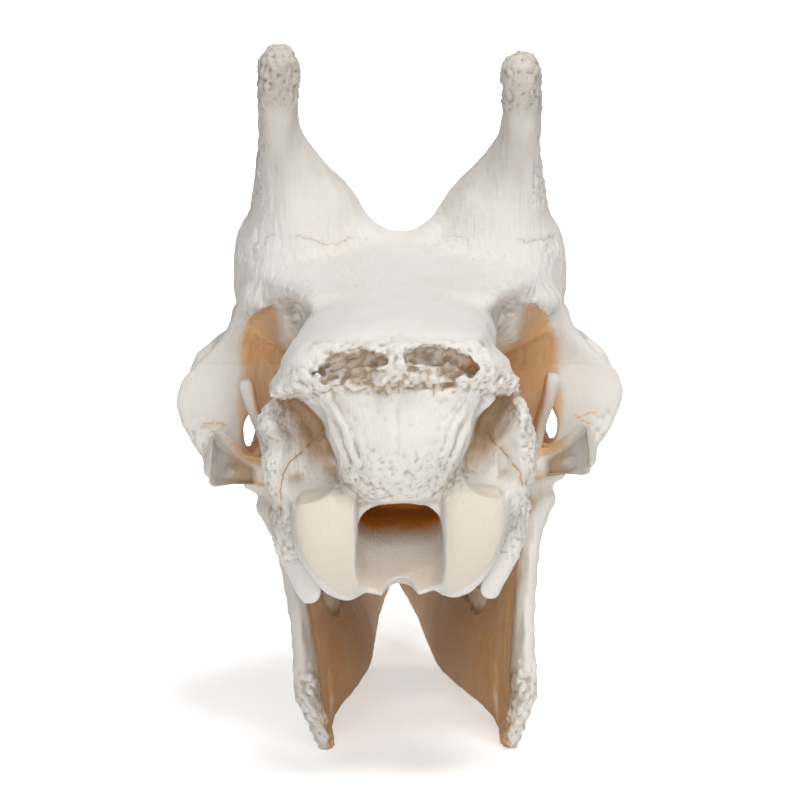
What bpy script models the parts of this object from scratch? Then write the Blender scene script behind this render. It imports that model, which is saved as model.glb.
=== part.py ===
"""Giraffe skull with its lower jaw, life size, resting on the angles and the bodies of the jaw.

The nose points along +Y, up is +Z and the animal's right side is +X. Every size below is in millimetres,
with y counted forward from the back of the occipital condyles, and becomes metres when a form is made.
Each bone is blocked out as closed forms, fused, softened so that the forms run into one another, hollowed,
and parted along its sutures with thin cuts.
"""

import math

import bmesh
import bpy
import numpy as np
from mathutils import Matrix, Vector

MM = 0.001

# Driving dimensions
SNOUT_TIP = 597.0
ORBIT_SPREAD = 133.5
CONDYLE_SPREAD = 38.0
OSSICONE_TIP = (67.5, 118.0, 393.0)
ROOF_HEIGHT = 289.0
JAW_TURN = 0.035
JAW_LEAN = 0.0437
JAW_CLEARANCE = 0.4
SUTURE_GAP = 0.3
SKULL_TRIANGLES = 6500
JAW_TRIANGLES = 960

# Cheek teeth: middle y and x, length along the row, width and number of lobes
UPPER_TEETH = (
    (232, 52, 30, 29, 2),
    (262, 51.5, 31, 30, 2),
    (291, 49.5, 28, 28, 2),
    (318, 46.5, 23, 26, 1),
    (341, 43, 23, 24, 1),
    (363, 39, 21, 20, 1),
)

LOWER_TEETH = (
    (229, 48.5, 38, 18, 3),
    (263, 46.5, 29, 19, 2),
    (291, 43.5, 27, 18, 2),
    (316, 40.5, 23, 17, 2),
    (337, 37.5, 19, 15, 1),
    (355, 35, 16, 13, 1),
)

# Front teeth of one side of the lower jaw: x and y of the crown, how far it turns outward, width
FRONT_TEETH = (
    (5.2, 604, 0.05, 9.2),
    (14, 602.5, 0.2, 8.6),
    (22, 599, 0.4, 8),
    (28.5, 593, 0.62, 7.4),
    (33, 587, 0.8, 5.6),
)


def smooth_rows(rows, per_span=4):
    """Rows of numbers joined by a smooth curve, with per_span steps from each row to the next."""
    rows = np.array(rows, float)
    span = np.linalg.norm(np.diff(rows[:, :3], axis=0), axis=1)
    slope = np.diff(rows, axis=0) / span[:, None]
    inner = (slope[:-1] * span[1:, None] + slope[1:] * span[:-1, None]) / (span[1:] + span[:-1])[:, None]
    slopes = np.vstack([slope[:1], inner, slope[-1:]])
    made = []
    for i, length in enumerate(span):
        for t in np.arange(per_span) / per_span:
            near = (1 + 2 * t) * (1 - t) ** 2
            far = t * t * (3 - 2 * t)
            bend = t * (1 - t) ** 2 * slopes[i] - t * t * (1 - t) * slopes[i + 1]
            made.append(near * rows[i] + far * rows[i + 1] + length * bend)
    made.append(rows[-1])
    return np.array(made)


def closed_form(name, rings, dome=0.6):
    """One closed mesh through rings of points. Each end swells into a dome, or is flat where dome is 0."""
    rings = [np.array(ring, float) for ring in rings]
    for first, second, at_start in ((0, 1, True), (-1, -2, False)) if dome else ():
        ring, centre = rings[first], rings[first].mean(axis=0)
        outward = centre - rings[second].mean(axis=0)
        outward /= np.linalg.norm(outward)
        depth = dome * np.linalg.norm(ring - centre, axis=1).min()
        caps = []
        for angle in (35, 65, 85):
            shrink, push = math.cos(math.radians(angle)), math.sin(math.radians(angle))
            caps.append(centre + (ring - centre) * shrink + outward * depth * push)
        rings = caps[::-1] + rings if at_start else rings + caps
    bm = bmesh.new()
    sides = len(rings[0])
    made = bmesh.ops.create_circle(bm, segments=sides, radius=1.0)
    verts = made["verts"]
    edges = list(bm.edges)
    for index, ring in enumerate(rings):
        if index:
            made = bmesh.ops.extrude_edge_only(bm, edges=edges)["geom"]
            edges = [item for item in made if isinstance(item, bmesh.types.BMEdge)]
            verts = order_ring(verts, made)
        for vert, point in zip(verts, ring):
            vert.co = Vector(point) * MM
    bmesh.ops.holes_fill(bm, edges=bm.edges, sides=sides)
    bmesh.ops.recalc_face_normals(bm, faces=bm.faces)
    return object_from(name, bm)


def order_ring(verts, made):
    """The new ring's points in the order of the ring that it was extruded from."""
    new = {item for item in made if isinstance(item, bmesh.types.BMVert)}
    return [next(e.other_vert(v) for e in v.link_edges if e.other_vert(v) in new) for v in verts]


def object_from(name, bm):
    mesh = bpy.data.meshes.new(name)
    bm.to_mesh(mesh)
    bm.free()
    obj = bpy.data.objects.new(name, mesh)
    bpy.context.scene.collection.objects.link(obj)
    return obj


def superellipse(sides, squareness):
    """Unit ring as (across, up) pairs: 2 is an ellipse and more is squarer."""
    angle = (np.arange(sides) + 0.5) * 2 * math.pi / sides
    power = 2 / squareness
    across = np.sign(np.cos(angle)) * np.abs(np.cos(angle)) ** power
    up = np.sign(np.sin(angle)) * np.abs(np.sin(angle)) ** power
    return across, up


def long_form(name, rows, squareness=2.6, sides=32, dome=0.3, per_span=4):
    """A form along Y. Each row is y, low z, high z, then half-widths at the bottom, middle and top,
    and, where it isn't on the midline, x at the bottom and x at the top."""
    across, up = superellipse(sides, squareness)
    rings = []
    for row in smooth_rows(rows, per_span):
        y, low, high, w_low, w_mid, w_high = row[:6]
        x_low, x_high = row[6:8] if len(row) > 6 else (0.0, 0.0)
        width = w_mid + (w_high - w_low) / 2 * up + ((w_high + w_low) / 2 - w_mid) * up**2
        centre = (x_low + x_high) / 2 + (x_high - x_low) / 2 * up
        z = (low + high) / 2 + (high - low) / 2 * up
        rings.append(np.stack([centre + width * across, np.full(sides, y), z], axis=1))
    return closed_form(name, rings, dome)


def plate_form(name, rows, thickness_power=2.4, sides=28, dome=0.3, per_span=4):
    """An upright plate, row by row up Z: z, back y, back x, front y, front x and half-thickness."""
    across, along = superellipse(sides, thickness_power)
    rings = []
    for z, back_y, back_x, front_y, front_x, thick in smooth_rows(rows, per_span):
        share = (along + 1) / 2
        y = back_y + (front_y - back_y) * share
        x = back_x + (front_x - back_x) * share
        lean = Vector((front_y - back_y, back_x - front_x)).normalized()
        x += across * thick * lean.x
        y += across * thick * lean.y
        rings.append(np.stack([x, y, np.full(sides, z)], axis=1))
    return closed_form(name, rings, dome)


def tube(name, rows, across=(1, 0, 0), squareness=2.0, sides=20, dome=0.9, per_span=5):
    """A form along a curve: x, y, z, the half-width along across and the half-width square to it."""
    unit_across, unit_other = superellipse(sides, squareness)
    rows = smooth_rows(rows, per_span)
    tangents = np.gradient(rows[:, :3], axis=0)
    rings = []
    for row, tangent in zip(rows, tangents):
        tangent = tangent / np.linalg.norm(tangent)
        side = np.array(across, float) - np.dot(across, tangent) * tangent
        side /= np.linalg.norm(side)
        other = np.cross(tangent, side)
        rings.append(row[:3] + np.outer(unit_across, side) * row[3] + np.outer(unit_other, other) * row[4])
    return closed_form(name, rings, dome)


def ball(name, centre, radii, turn=(0, 0, 0)):
    """An ellipsoid, turned by degrees about X, Y and Z."""
    bm = bmesh.new()
    bmesh.ops.create_uvsphere(bm, u_segments=24, v_segments=14, radius=1.0)
    bmesh.ops.scale(bm, vec=Vector(radii) * MM, verts=bm.verts)
    for degrees, axis in zip(turn, "XYZ"):
        bmesh.ops.rotate(bm, matrix=Matrix.Rotation(math.radians(degrees), 3, axis), verts=bm.verts)
    bmesh.ops.translate(bm, vec=Vector(centre) * MM, verts=bm.verts)
    return object_from(name, bm)


def flip(obj):
    """Moves a form to the other side of the midline."""
    bm = bmesh.new()
    bm.from_mesh(obj.data)
    bmesh.ops.scale(bm, vec=(-1, 1, 1), verts=bm.verts)
    bmesh.ops.reverse_faces(bm, faces=bm.faces)
    bm.to_mesh(obj.data)
    bm.free()
    return obj


def mirrored(obj):
    """A second form like this one, on the other side of the midline."""
    bm = bmesh.new()
    bm.from_mesh(obj.data)
    return flip(object_from(obj.name + "_other", bm))


def paired(forms):
    return forms + [mirrored(form) for form in forms]


def apply_modifiers(obj):
    bpy.context.view_layer.update()
    graph = bpy.context.evaluated_depsgraph_get()
    mesh = bpy.data.meshes.new_from_object(obj.evaluated_get(graph))
    obj.modifiers.clear()
    obj.data = mesh


def combine(obj, others, operation):
    """One Boolean with a collection of closed meshes, which are then removed."""
    group = bpy.data.collections.new(obj.name + "_" + operation.lower())
    for other in others:
        group.objects.link(other)
    boolean = obj.modifiers.new(operation, "BOOLEAN")
    boolean.operation = operation
    boolean.operand_type = "COLLECTION"
    boolean.collection = group
    boolean.solver = "MANIFOLD"
    apply_modifiers(obj)
    for other in others:
        bpy.data.objects.remove(other)
    bpy.data.collections.remove(group)
    return obj


def soften(obj, voxel, passes, factor=0.5):
    """Turns fused forms into one even skin and lets them run into one another."""
    remesh = obj.modifiers.new("even_skin", "REMESH")
    remesh.mode = "VOXEL"
    remesh.voxel_size = voxel * MM
    if passes:
        smooth = obj.modifiers.new("run_together", "SMOOTH")
        smooth.factor = factor
        smooth.iterations = passes
    apply_modifiers(obj)
    return obj


def keep_largest(obj):
    """Drops what isn't joined to the largest closed surface."""
    bm = bmesh.new()
    bm.from_mesh(obj.data)
    bm.verts.ensure_lookup_table()
    seen, islands = set(), []
    for start in bm.verts:
        if start.index in seen:
            continue
        island, queue = [], [start]
        seen.add(start.index)
        while queue:
            vert = queue.pop()
            island.append(vert)
            for edge in vert.link_edges:
                other = edge.other_vert(vert)
                if other.index not in seen:
                    seen.add(other.index)
                    queue.append(other)
        islands.append(island)
    islands.sort(key=len)
    for island in islands[:-1]:
        bmesh.ops.delete(bm, geom=island, context="VERTS")
    bm.to_mesh(obj.data)
    bm.free()
    return obj


def reduce_faces(obj, triangles):
    """Collapses flat stretches first, down to about this many triangles."""
    now = sum(len(face.vertices) - 2 for face in obj.data.polygons)
    decimate = obj.modifiers.new("fewer_faces", "DECIMATE")
    decimate.ratio = min(1.0, triangles / now)
    apply_modifiers(obj)
    return obj


def braincase_masses():
    """Vault, nape plate and floor of the braincase, all on the midline."""
    vault = long_form(
        "vault",
        [
            (22, 152, 238, 48, 54, 46),
            (45, 147, 250, 48, 53, 50),
            (80, 147, 263, 44, 51, 56),
            (120, 150, 276, 42, 50, 62),
            (160, 158, 287, 42, 52, 70),
            (200, 168, 289, 44, 54, 76),
            (235, 176, 284, 42, 54, 66),
        ],
        squareness=3.0,
    )
    nape = long_form(
        "nape",
        [
            (25, 112, 232, 52, 69, 52),
            (32, 106, 238, 56, 73, 56),
            (44, 110, 242, 52, 71, 54),
            (60, 132, 248, 44, 60, 52),
        ],
        squareness=2.2,
        dome=0.05,
    )
    cap = long_form(
        "cap",
        [
            (7, 214, 240, 50, 58, 40),
            (18, 207, 247, 56, 67, 46),
            (36, 204, 251, 56, 69, 50),
            (62, 206, 257, 48, 58, 50),
        ],
        squareness=2.3,
        dome=0.1,
    )
    base = long_form(
        "base",
        [
            (14, 101, 124, 21, 22, 20),
            (30, 100, 128, 20, 22, 20),
            (60, 108, 140, 15, 19, 20),
            (110, 126, 160, 12, 15, 20),
            (160, 136, 176, 12, 15, 20),
            (225, 128, 190, 14, 20, 24),
        ],
        dome=0.2,
    )
    return [vault, nape, cap, base]


def brow_mass():
    """Roof over the temporal hollows and the orbits."""
    return long_form(
        "brow",
        [
            (72, 246, 260, 48, 52, 42),
            (98, 249, 268, 58, 62, 48),
            (124, 248, 277, 70, 77, 56),
            (145, 246, 284, 80, 89, 64),
            (165, 241, ROOF_HEIGHT, 84, 93, 70),
            (200, 232, 288, 84, 89, 66),
            (235, 212, 283, 70, 75, 56),
            (265, 186, 272, 54, 58, 42),
            (300, 180, 254, 44, 48, 33),
            (330, 176, 236, 36, 38, 24),
        ],
        squareness=2.5,
    )


def ossicone_mass():
    tip_x, tip_y, tip_z = OSSICONE_TIP
    return tube(
        "ossicone",
        [
            (51, 173, 264, 47.5, 50),
            (55, 170, 284, 42, 44),
            (57.5, 164, 303, 32.5, 34),
            (61.5, 160, 316, 24.5, 28),
            (64.8, 155, 328, 18.2, 23),
            (67.8, 148, 341, 12.8, 18.5),
            (68.8, 140, 354, 11.4, 15.5),
            (68.5, 131, 368, 11.6, 13.5),
            (tip_x, tip_y + 4, tip_z - 12, 12.2, 13),
        ],
        dome=1.0,
    )


def saddle_mass():
    """Fills the curve of the brow between the ossicones."""
    return tube(
        "saddle",
        [
            (-40, 166, 300, 15, 9),
            (-22, 166, 291, 20, 9),
            (0, 166, 284, 24, 9),
            (22, 166, 291, 20, 9),
            (40, 166, 300, 15, 9),
        ],
        across=(0, 1, 0),
    )


def orbit_masses():
    """The wing behind the orbit and the cheek in front of it."""
    wing = plate_form(
        "wing",
        [
            (148, 172, 100, 174, 111, 6),
            (160, 176, 99, 178, 118.5, 6),
            (175, 184, 96, 180, 128.5, 6),
            (190, 192, 84, 180, ORBIT_SPREAD, 6),
            (204, 198, 64, 180, 131, 6),
            (216, 200, 56, 178, 119, 6.5),
            (228, 200, 54, 175, 106, 8),
            (242, 196, 54, 170, 97, 9),
            (258, 190, 54, 168, 92, 10),
        ],
        dome=0.2,
    )
    cheek = long_form(
        "cheek",
        [
            (240, 140, 264, 16, 21, 14, 60, 54),
            (258, 130, 262, 18, 23, 15, 54, 48),
            (282, 122, 252, 20, 24, 16, 44, 38),
            (312, 116, 236, 19, 22, 15, 31, 25),
            (345, 114, 218, 14, 17, 10, 25, 18),
        ],
    )
    lid = tube(
        "lid",
        [(66, 210, 260, 36, 9), (84, 209, 248, 33, 9), (98, 207, 234, 29, 7.5), (107, 207, 222, 20, 5)],
        across=(0, 1, 0),
        squareness=2.4,
    )
    return [wing, cheek, lid]


def face_mass():
    return long_form(
        "face",
        [
            (205, 126, 276, 40, 46, 56),
            (235, 88, 279, 60, 60, 52),
            (262, 86, 271, 61, 60, 42),
            (300, 87, 252, 58, 53, 34),
            (340, 88, 232, 53, 45, 28),
            (385, 90, 209, 43, 37, 24),
            (420, 91, 190, 33, 31, 22),
            (460, 91, 170, 27, 27, 20),
            (490, 90, 146, 25, 25, 19),
            (515, 89, 124, 24, 24, 18),
        ],
        squareness=2.8,
    )


def occiput_forms():
    """Crest, median column, condyles and what hangs beside them."""
    crest = tube(
        "crest",
        [
            (-69, 27, 212, 7, 6),
            (-52, 15, 219, 9, 10),
            (-28, 8, 224, 10, 12),
            (0, 5, 227, 10, 14),
            (28, 8, 224, 10, 12),
            (52, 15, 219, 9, 10),
            (69, 27, 212, 7, 6),
        ],
        across=(0, 1, 0),
    )
    column = tube(
        "column",
        [
            (0, 22, 224, 52, 16),
            (0, 20.5, 208, 46, 15.5),
            (0, 19.5, 194, 38, 15),
            (0, 19.5, 180, 34, 14),
            (0, 20, 167, 28, 12.5),
            (0, 23, 154, 22, 10),
        ],
        dome=0.2,
        squareness=2.3,
    )
    x = CONDYLE_SPREAD
    condyle = tube(
        "condyle",
        [
            (x + 1.6, 24, 156, 17, 11),
            (x + 1.6, 16, 143, 17.4, 14),
            (x - 1.6, 13.5, 127, 15.8, 14),
            (x - 7.4, 15, 115, 12.4, 12),
            (x - 14, 21, 107, 8, 9),
        ],
        squareness=2.6,
        dome=0.5,
    )
    neck = tube("neck", [(44, 34, 168, 14, 12), (40, 34, 148, 15, 14), (34, 32, 126, 14, 14)])
    paracondyle = tube(
        "paracondyle",
        [(58, 38, 145, 12, 8), (57, 36, 128, 10, 6), (52, 33, 112, 7.5, 5), (47, 31, 100, 6, 4)],
        across=(1, 0.2, 0),
    )
    bulla = ball("bulla", (42, 74, 130), (12, 19, 17))
    ear = tube("ear", [(46, 92, 150, 8, 8), (60, 88, 152, 7, 7), (71, 86, 153, 6, 6)], across=(0, 1, 0))
    return [crest, column] + paired([condyle, neck, paracondyle, bulla, ear])


def orbit_forms():
    """Rim of the orbit, the arch back to the ear and the plate over the jaw joint."""
    rim = []
    middle = np.array((100.0, 220.0, 190.0))
    along = np.array((-22.0, 36.0, 0.0))
    for angle in np.linspace(0, 2 * math.pi, 17):
        point = middle + along * math.cos(angle) + np.array((0, 0, 36.0)) * math.sin(angle)
        rim.append((*point, 6, 6))
    rim = tube("rim", rim, across=(0.82, 0.57, 0), per_span=2, dome=0.1)
    jugal = tube(
        "jugal",
        [
            (62, 270, 122, 9, 18),
            (78, 252, 138, 8, 13),
            (97, 226, 149, 8, 9),
            (108, 200, 153, 7, 9),
            (110, 176, 156, 6, 9),
        ],
        across=(1, 1, 0),
    )
    arch = tube(
        "arch",
        [(110, 182, 158, 9, 5), (108.5, 164, 160, 11, 4.5), (106, 150, 163, 15, 4), (104, 142, 163, 16, 4)],
        across=(0, 0, 1),
    )
    socket = tube(
        "socket",
        [
            (106, 144, 163, 17, 3.5),
            (100, 137, 161.5, 15.5, 5),
            (91, 129, 158, 11.5, 6),
            (81, 122, 155.5, 9, 7),
            (67, 116, 156, 9, 8),
            (50, 110, 158, 11, 9),
        ],
        across=(0, 0, 1),
        squareness=3.6,
        dome=0.3,
    )
    seat = tube(
        "seat",
        [(60, 132, 156, 16, 6), (84, 134, 155, 15, 6), (102, 138, 154, 10, 6)],
        across=(0, 1, 0),
    )
    pterygoid = plate_form(
        "pterygoid",
        [
            (98, 186, 22, 212, 23, 3),
            (112, 170, 22, 218, 24, 3),
            (130, 152, 22, 226, 26, 3.5),
            (150, 140, 21, 236, 28, 5),
        ],
    )
    tuber = tube("tuber", [(50, 234, 96, 13, 16), (50, 231, 118, 12, 13), (46, 231, 140, 12, 13)])
    return paired([rim, jugal, arch, socket, seat, pterygoid, tuber])


def snout_forms():
    bar = tube(
        "bar",
        [
            (25, 430, 150, 4.5, 13),
            (25.5, 475, 130, 4.5, 11),
            (25, 520, 110, 5, 9),
            (25, 560, 97, 7, 6),
            (22, 586, 89, 11, 5),
            (19, SNOUT_TIP, 87, 12, 4),
        ],
        dome=0.5,
    )
    inner = tube("inner", [(7, 480, 94, 4, 4), (7, 530, 92, 4, 4), (9, 582, 88, 7, 4)])
    return paired([bar, inner])


def hollows():
    """What is cut out of the skull: nape hollows, canal, brain room, orbits, nose and palate."""
    nape_pit = ball("nape_pit", (50, 13, 192), (13, 21, 20), turn=(0, 22, 0))
    side_pit = ball("side_pit", (49, 16, 172), (18, 14, 22), turn=(0, -14, 0))
    temple = long_form(
        "temple",
        [
            (84, 205, 243, 8, 12, 9, 82, 78),
            (106, 180, 250, 13, 18, 14, 83, 75),
            (136, 172, 253, 14, 20, 17, 84, 74),
            (162, 174, 250, 13, 19, 15, 86, 76),
        ],
        squareness=2.4,
        dome=0.4,
    )
    orbit = ball("orbit", (104, 216, 190), (34, 31, 31))
    window = tube("window", [(89, 160, 169, 6, 12), (90, 200, 170, 6, 12), (92, 240, 170, 7, 12)])
    ear_hole = tube("ear_hole", [(52, 88, 151, 3.5, 3.5), (84, 85, 154, 3.5, 3.5)], across=(0, 1, 0))
    tear_pit = ball("tear_pit", (63, 268, 226), (5, 17, 7), turn=(-24, 0, 12))
    scar = tube("scar", [(6, -6, 224, 6, 6), (26, -3, 222, 7, 7), (44, 5, 218, 5, 5)], across=(0, 1, 0))
    nerve_hole = tube("nerve_hole", [(36, 360, 140, 4, 5), (46, 378, 138, 4, 5), (56, 396, 137, 5, 6)])
    canal = long_form(
        "canal",
        [
            (-25, 97, 150.5, 21.5, 23.5, 21),
            (8, 101, 150.5, 21.5, 23.5, 21),
            (18, 106, 150, 21.5, 23.3, 21),
            (30, 115, 151, 21, 23, 20),
            (45, 125, 154, 20, 22, 20),
            (62, 131, 160, 20, 21, 20),
            (90, 138, 176, 20, 22, 22),
        ],
        squareness=3.4,
        dome=0.2,
    )
    brain = ball("brain", (0, 100, 176), (29, 48, 30))
    notch = tube("notch", [(0, -20, 101, 8.5, 9), (0, 24, 101, 8.5, 9), (0, 44, 97, 6, 6)])
    nose = long_form(
        "nose",
        [
            (590, 98, 190, 17, 18, 24),
            (540, 99, 190, 19, 20, 26),
            (490, 100, 190, 20, 21, 26),
            (455, 101, 180, 20, 22, 20),
            (430, 103, 178, 21, 23, 18),
            (400, 104, 188, 22, 25, 18),
            (360, 106, 196, 20, 26, 18),
            (320, 110, 190, 18, 22, 16),
            (290, 112, 160, 16, 18, 14),
        ],
        squareness=2.5,
        dome=0.3,
    )
    throat = tube(
        "throat",
        [(0, 180, 118, 18, 15), (0, 230, 118, 17, 16), (0, 300, 124, 15, 16)],
        squareness=2.6,
    )
    palate = tube(
        "palate",
        [(0, 215, 84, 30, 12), (0, 300, 85, 29, 12), (0, 360, 86, 24, 10), (0, 430, 86, 14, 7)],
        dome=0.5,
    )
    return [canal, brain, notch, nose, throat, palate] + paired(
        [nape_pit, side_pit, temple, orbit, window, ear_hole, tear_pit, nerve_hole, scar]
    )


def cranium():
    """The whole skull as one skin: broad masses first, then the finer forms, then the hollows."""
    body, *rest = braincase_masses()
    rest += [brow_mass(), saddle_mass(), face_mass()]
    combine(body, rest + paired([ossicone_mass()] + orbit_masses()), "UNION")
    soften(body, 2.5, 14)
    combine(body, occiput_forms() + orbit_forms() + snout_forms(), "UNION")
    soften(body, 2.0, 5)
    combine(body, hollows(), "DIFFERENCE")
    soften(body, 1.8, 3)
    return keep_largest(body)


def tooth_row(names, crown_z, neck_z, root_z):
    """One lobe after another of a row of cheek teeth, with worn hollows between the cusps."""
    lobes = []
    across, along = superellipse(8, 2.4)
    lift = 1.0 if crown_z > neck_z else -1.0
    points = [(y, x) for y, x, *_ in names]
    for index, (y, x, length, width, count) in enumerate(names):
        before, after = points[max(index - 1, 0)], points[min(index + 1, len(points) - 1)]
        turn = math.atan2(after[1] - before[1], after[0] - before[0])
        for lobe in range(count):
            offset = (lobe - (count - 1) / 2) * length / count
            centre = np.array((x + offset * math.sin(turn), y + offset * math.cos(turn)))
            half_w = width / 2 * (1 - 0.05 * (lobe % 2))
            half_l = length / count * 0.56
            stages = (
                (root_z, 0.62, 0.70, 0.0),
                (neck_z, 0.86, 0.90, 0.0),
                (crown_z - lift * 1.2, 0.94, 0.96, 2.2),
                (crown_z - lift * 3.4, 0.46, 0.55, 0.0),
            )
            rings = []
            for z, scale_w, scale_l, cusp in stages:
                dx, dy = across * half_w * scale_w, along * half_l * scale_l
                px = centre[0] + dx * math.cos(turn) + dy * math.sin(turn)
                py = centre[1] - dx * math.sin(turn) + dy * math.cos(turn)
                pz = z + lift * cusp * (np.abs(across) - 0.5)
                rings.append(np.stack([px, py, pz], axis=1))
            lobes.append(closed_form("lobe", rings, dome=0))
    return lobes


def incisors():
    """Four spoon-shaped front teeth on one side of the lower jaw, the outermost with two lobes."""
    teeth = []
    across, along = superellipse(8, 2.2)
    for x, y, lean, width in FRONT_TEETH:
        side, forward = math.cos(lean), math.sin(lean)
        rings = []
        for step, wide, thick in ((-16, 0.45, 2.6), (-3, 0.62, 2.8), (8, 1.0, 1.7), (13, 0.92, 0.8)):
            centre = np.array((x + step * forward * 0.8, y + step * side * 0.8, 66.0 + step * 0.42))
            dx = across * width / 2 * wide
            dz = along * thick
            rings.append(centre + np.stack([dx * side, -dx * forward, dz], axis=1))
        teeth.append(closed_form("incisor", rings, dome=0))
    return teeth


def jaw_shear(obj):
    """The jaw as it lies: turned a little about the upright and leaning to one side, on both angles."""
    for vert in obj.data.vertices:
        x, y, z = vert.co
        vert.co.x = x + JAW_TURN * (400 * MM - y) - JAW_LEAN * z
        vert.co.y = y + JAW_TURN * x


def uneven(obj):
    """No skull is quite even: the right joint sits a little higher and the left horn is a little longer."""
    for vert in obj.data.vertices:
        z = vert.co.z / MM
        vert.co.z += 0.03 * vert.co.x * min(z / 150, 1 - (z - 150) / 120)


def jaw_condyle(grow=0.0):
    """Roller on which the jaw turns."""
    return tube(
        "jaw_condyle",
        [
            (64, 132, 142, 5 + grow, 5 + grow),
            (74, 132, 145, 7.5 + grow, 6.5 + grow),
            (84, 133, 146.5, 7.5 + grow, 6.5 + grow),
            (91, 134, 146, 5 + grow, 5 + grow),
        ],
        across=(0, 1, 0),
        sides=10,
        per_span=2,
    )


def jaw_forms():
    ramus = plate_form(
        "ramus",
        [
            (1, 108, 58, 168, 54, 5.5),
            (20, 99, 61, 212, 50, 6.5),
            (50, 102, 61.5, 222, 48, 6.5),
            (72, 107, 62, 214, 54, 6),
            (90, 110, 63.5, 203, 59, 5.5),
            (110, 114, 66, 194, 63, 5.5),
            (130, 121, 72, 188, 69, 5),
        ],
        dome=0.2,
    )
    border = tube(
        "border",
        [
            (54, 142, 3.5, 6, 6),
            (57.5, 114, 4.5, 7, 7.5),
            (60, 103, 24, 8, 7),
            (61.5, 106, 60, 7, 6),
            (65, 113, 92, 6.5, 6),
            (72, 124, 124, 7, 6.5),
            (79, 131, 138, 8, 6),
        ],
    )
    coronoid = tube(
        "coronoid",
        [
            (69, 178, 118, 4.5, 15),
            (75, 172, 148, 4, 11),
            (80.5, 163, 178, 3.6, 8),
            (85, 151, 203, 3.6, 5.5),
        ],
        dome=0.8,
    )
    body = long_form(
        "body",
        [
            (150, -2, 60, 6, 8, 7, 52, 57),
            (175, 0, 64, 7, 10, 8, 50, 55),
            (200, 2, 62, 8, 12, 9, 46, 53),
            (232, 2, 62, 10, 12.5, 10, 40, 50),
            (288, -0.6, 57, 11, 12.5, 10, 33, 43),
            (330, -0.6, 52, 11, 12, 10, 28, 38),
            (380, 6, 49, 10.5, 11.5, 9, 24, 33),
            (405, 13, 47, 9.5, 11, 8, 21, 28),
            (437, 22, 48, 9, 10, 7, 15, 21),
            (465, 30, 52, 9, 12, 9, 12, 14),
            (500, 38, 57, 10, 13, 11, 12, 13),
            (545, 47, 64, 11, 14, 13, 13, 14),
            (580, 54, 68, 14, 17, 16, 15, 16),
            (596, 58, 69, 15, 17, 16, 16, 16),
        ],
        squareness=2.4,
    )
    return [ramus, border, coronoid, body]


def jaw_half(side, triangles):
    """One half of the lower jaw with its teeth. The halves meet at the chin and have flats on the ground."""

    def turned(forms):
        return [flip(form) for form in forms] if side < 0 else forms

    body, *rest = turned(jaw_forms())
    combine(body, rest, "UNION")
    soften(body, 2.0, 5)
    reduce_faces(body, triangles)
    combine(body, turned([jaw_condyle()]), "UNION")
    combine(body, turned(tooth_row(LOWER_TEETH, 72.0, 58.0, 42.0) + incisors()), "UNION")
    edge = SUTURE_GAP / 2
    middle = block("middle", [(-90, 100), (edge, 100), (edge, 700), (-90, 700)], -20, 120)
    combine(body, turned([middle]), "DIFFERENCE")
    jaw_shear(body)
    uneven(body)
    ground = block("ground", [(-200, -50), (200, -50), (200, 700), (-200, 700)], -30, 0)
    combine(body, [ground], "DIFFERENCE")
    return keep_largest(body)


def block(name, outline, low, high, upright=2):
    """A straight-sided region: an outline in two directions, drawn from low to high along X or Z."""
    rings = []
    for level in (low, high):
        if upright == 2:
            rings.append([(a, b, level) for a, b in outline])
        else:
            rings.append([(level, a, b) for a, b in outline])
    return closed_form(name, rings, dome=0)


def part_off(body, name, region):
    """Takes the piece inside a region as a bone of its own, and leaves a thin gap round it."""
    piece = object_from(name, bmesh_of(body))
    wider = object_from("wider", bmesh_of(region))
    bm = bmesh_of(wider)
    for vert, shift in [(v, v.normal * v.calc_shell_factor() * SUTURE_GAP * MM) for v in bm.verts]:
        vert.co += shift
    bm.to_mesh(wider.data)
    bm.free()
    combine(piece, [region], "INTERSECT")
    combine(body, [wider], "DIFFERENCE")
    return keep_largest(piece)


def bmesh_of(obj):
    bm = bmesh.new()
    bm.from_mesh(obj.data)
    bm.normal_update()
    return bm


def part_bones(skull):
    """Parts the skull along its sutures, from the outermost bones inward."""
    bones = {}
    for side, word in ((-1, "left"), (1, "right")):
        horn_seat = closed_form(
            "horn_seat",
            [
                [(2, 40, 310.3), (140, 40, 264.8), (140, 260, 264.8), (2, 260, 310.3)],
                [(2, 40, 420), (140, 40, 420), (140, 260, 420), (2, 260, 420)],
            ],
            dome=0,
        )
        cheek_area = block(
            "cheek_area", [(86, 147), (145, 147), (145, 266), (67, 266), (71, 246), (86, 234)], 118, 212
        )
        beak = block("beak", [(428, 206), (504, 70), (650, 70), (650, 206)], SUTURE_GAP / 2, 60, upright=0)
        regions = {"ossicone_": horn_seat, "cheekbone_": cheek_area, "premaxilla_": beak}
        for kind, region in regions.items():
            name = kind + word
            if side < 0:
                flip(region)
            if name.startswith("premaxilla") and "nasal_bones" not in bones:
                roof = closed_form(
                    "roof",
                    [
                        [(-20, 292, 236), (20, 292, 236), (20, 292, 300), (-20, 292, 300)],
                        [(-15, 500, 136), (15, 500, 136), (15, 500, 300), (-15, 500, 300)],
                    ],
                    dome=0,
                )
                bones["nasal_bones"] = part_off(skull, "nasal_bones", roof)
            bones[name] = part_off(skull, name, region)
    front = [(126, 310), (150, 250), (168, 212.4), (240, 212.4), (268, 228), (312, 262), (312, 330), (126, 330)]
    bones["forehead"] = part_off(skull, "forehead", block("front", front, -145, 145, upright=0))
    jaw_area = [(136, 60), (136, 128), (204, 152), (204, 300), (560, 300), (560, 60)]
    bones["upper_jaw"] = part_off(skull, "upper_jaw", block("jaw_area", jaw_area, -100, 100, upright=0))
    keep_largest(skull)
    skull.name = "braincase"
    bones["braincase"] = skull
    return bones


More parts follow.
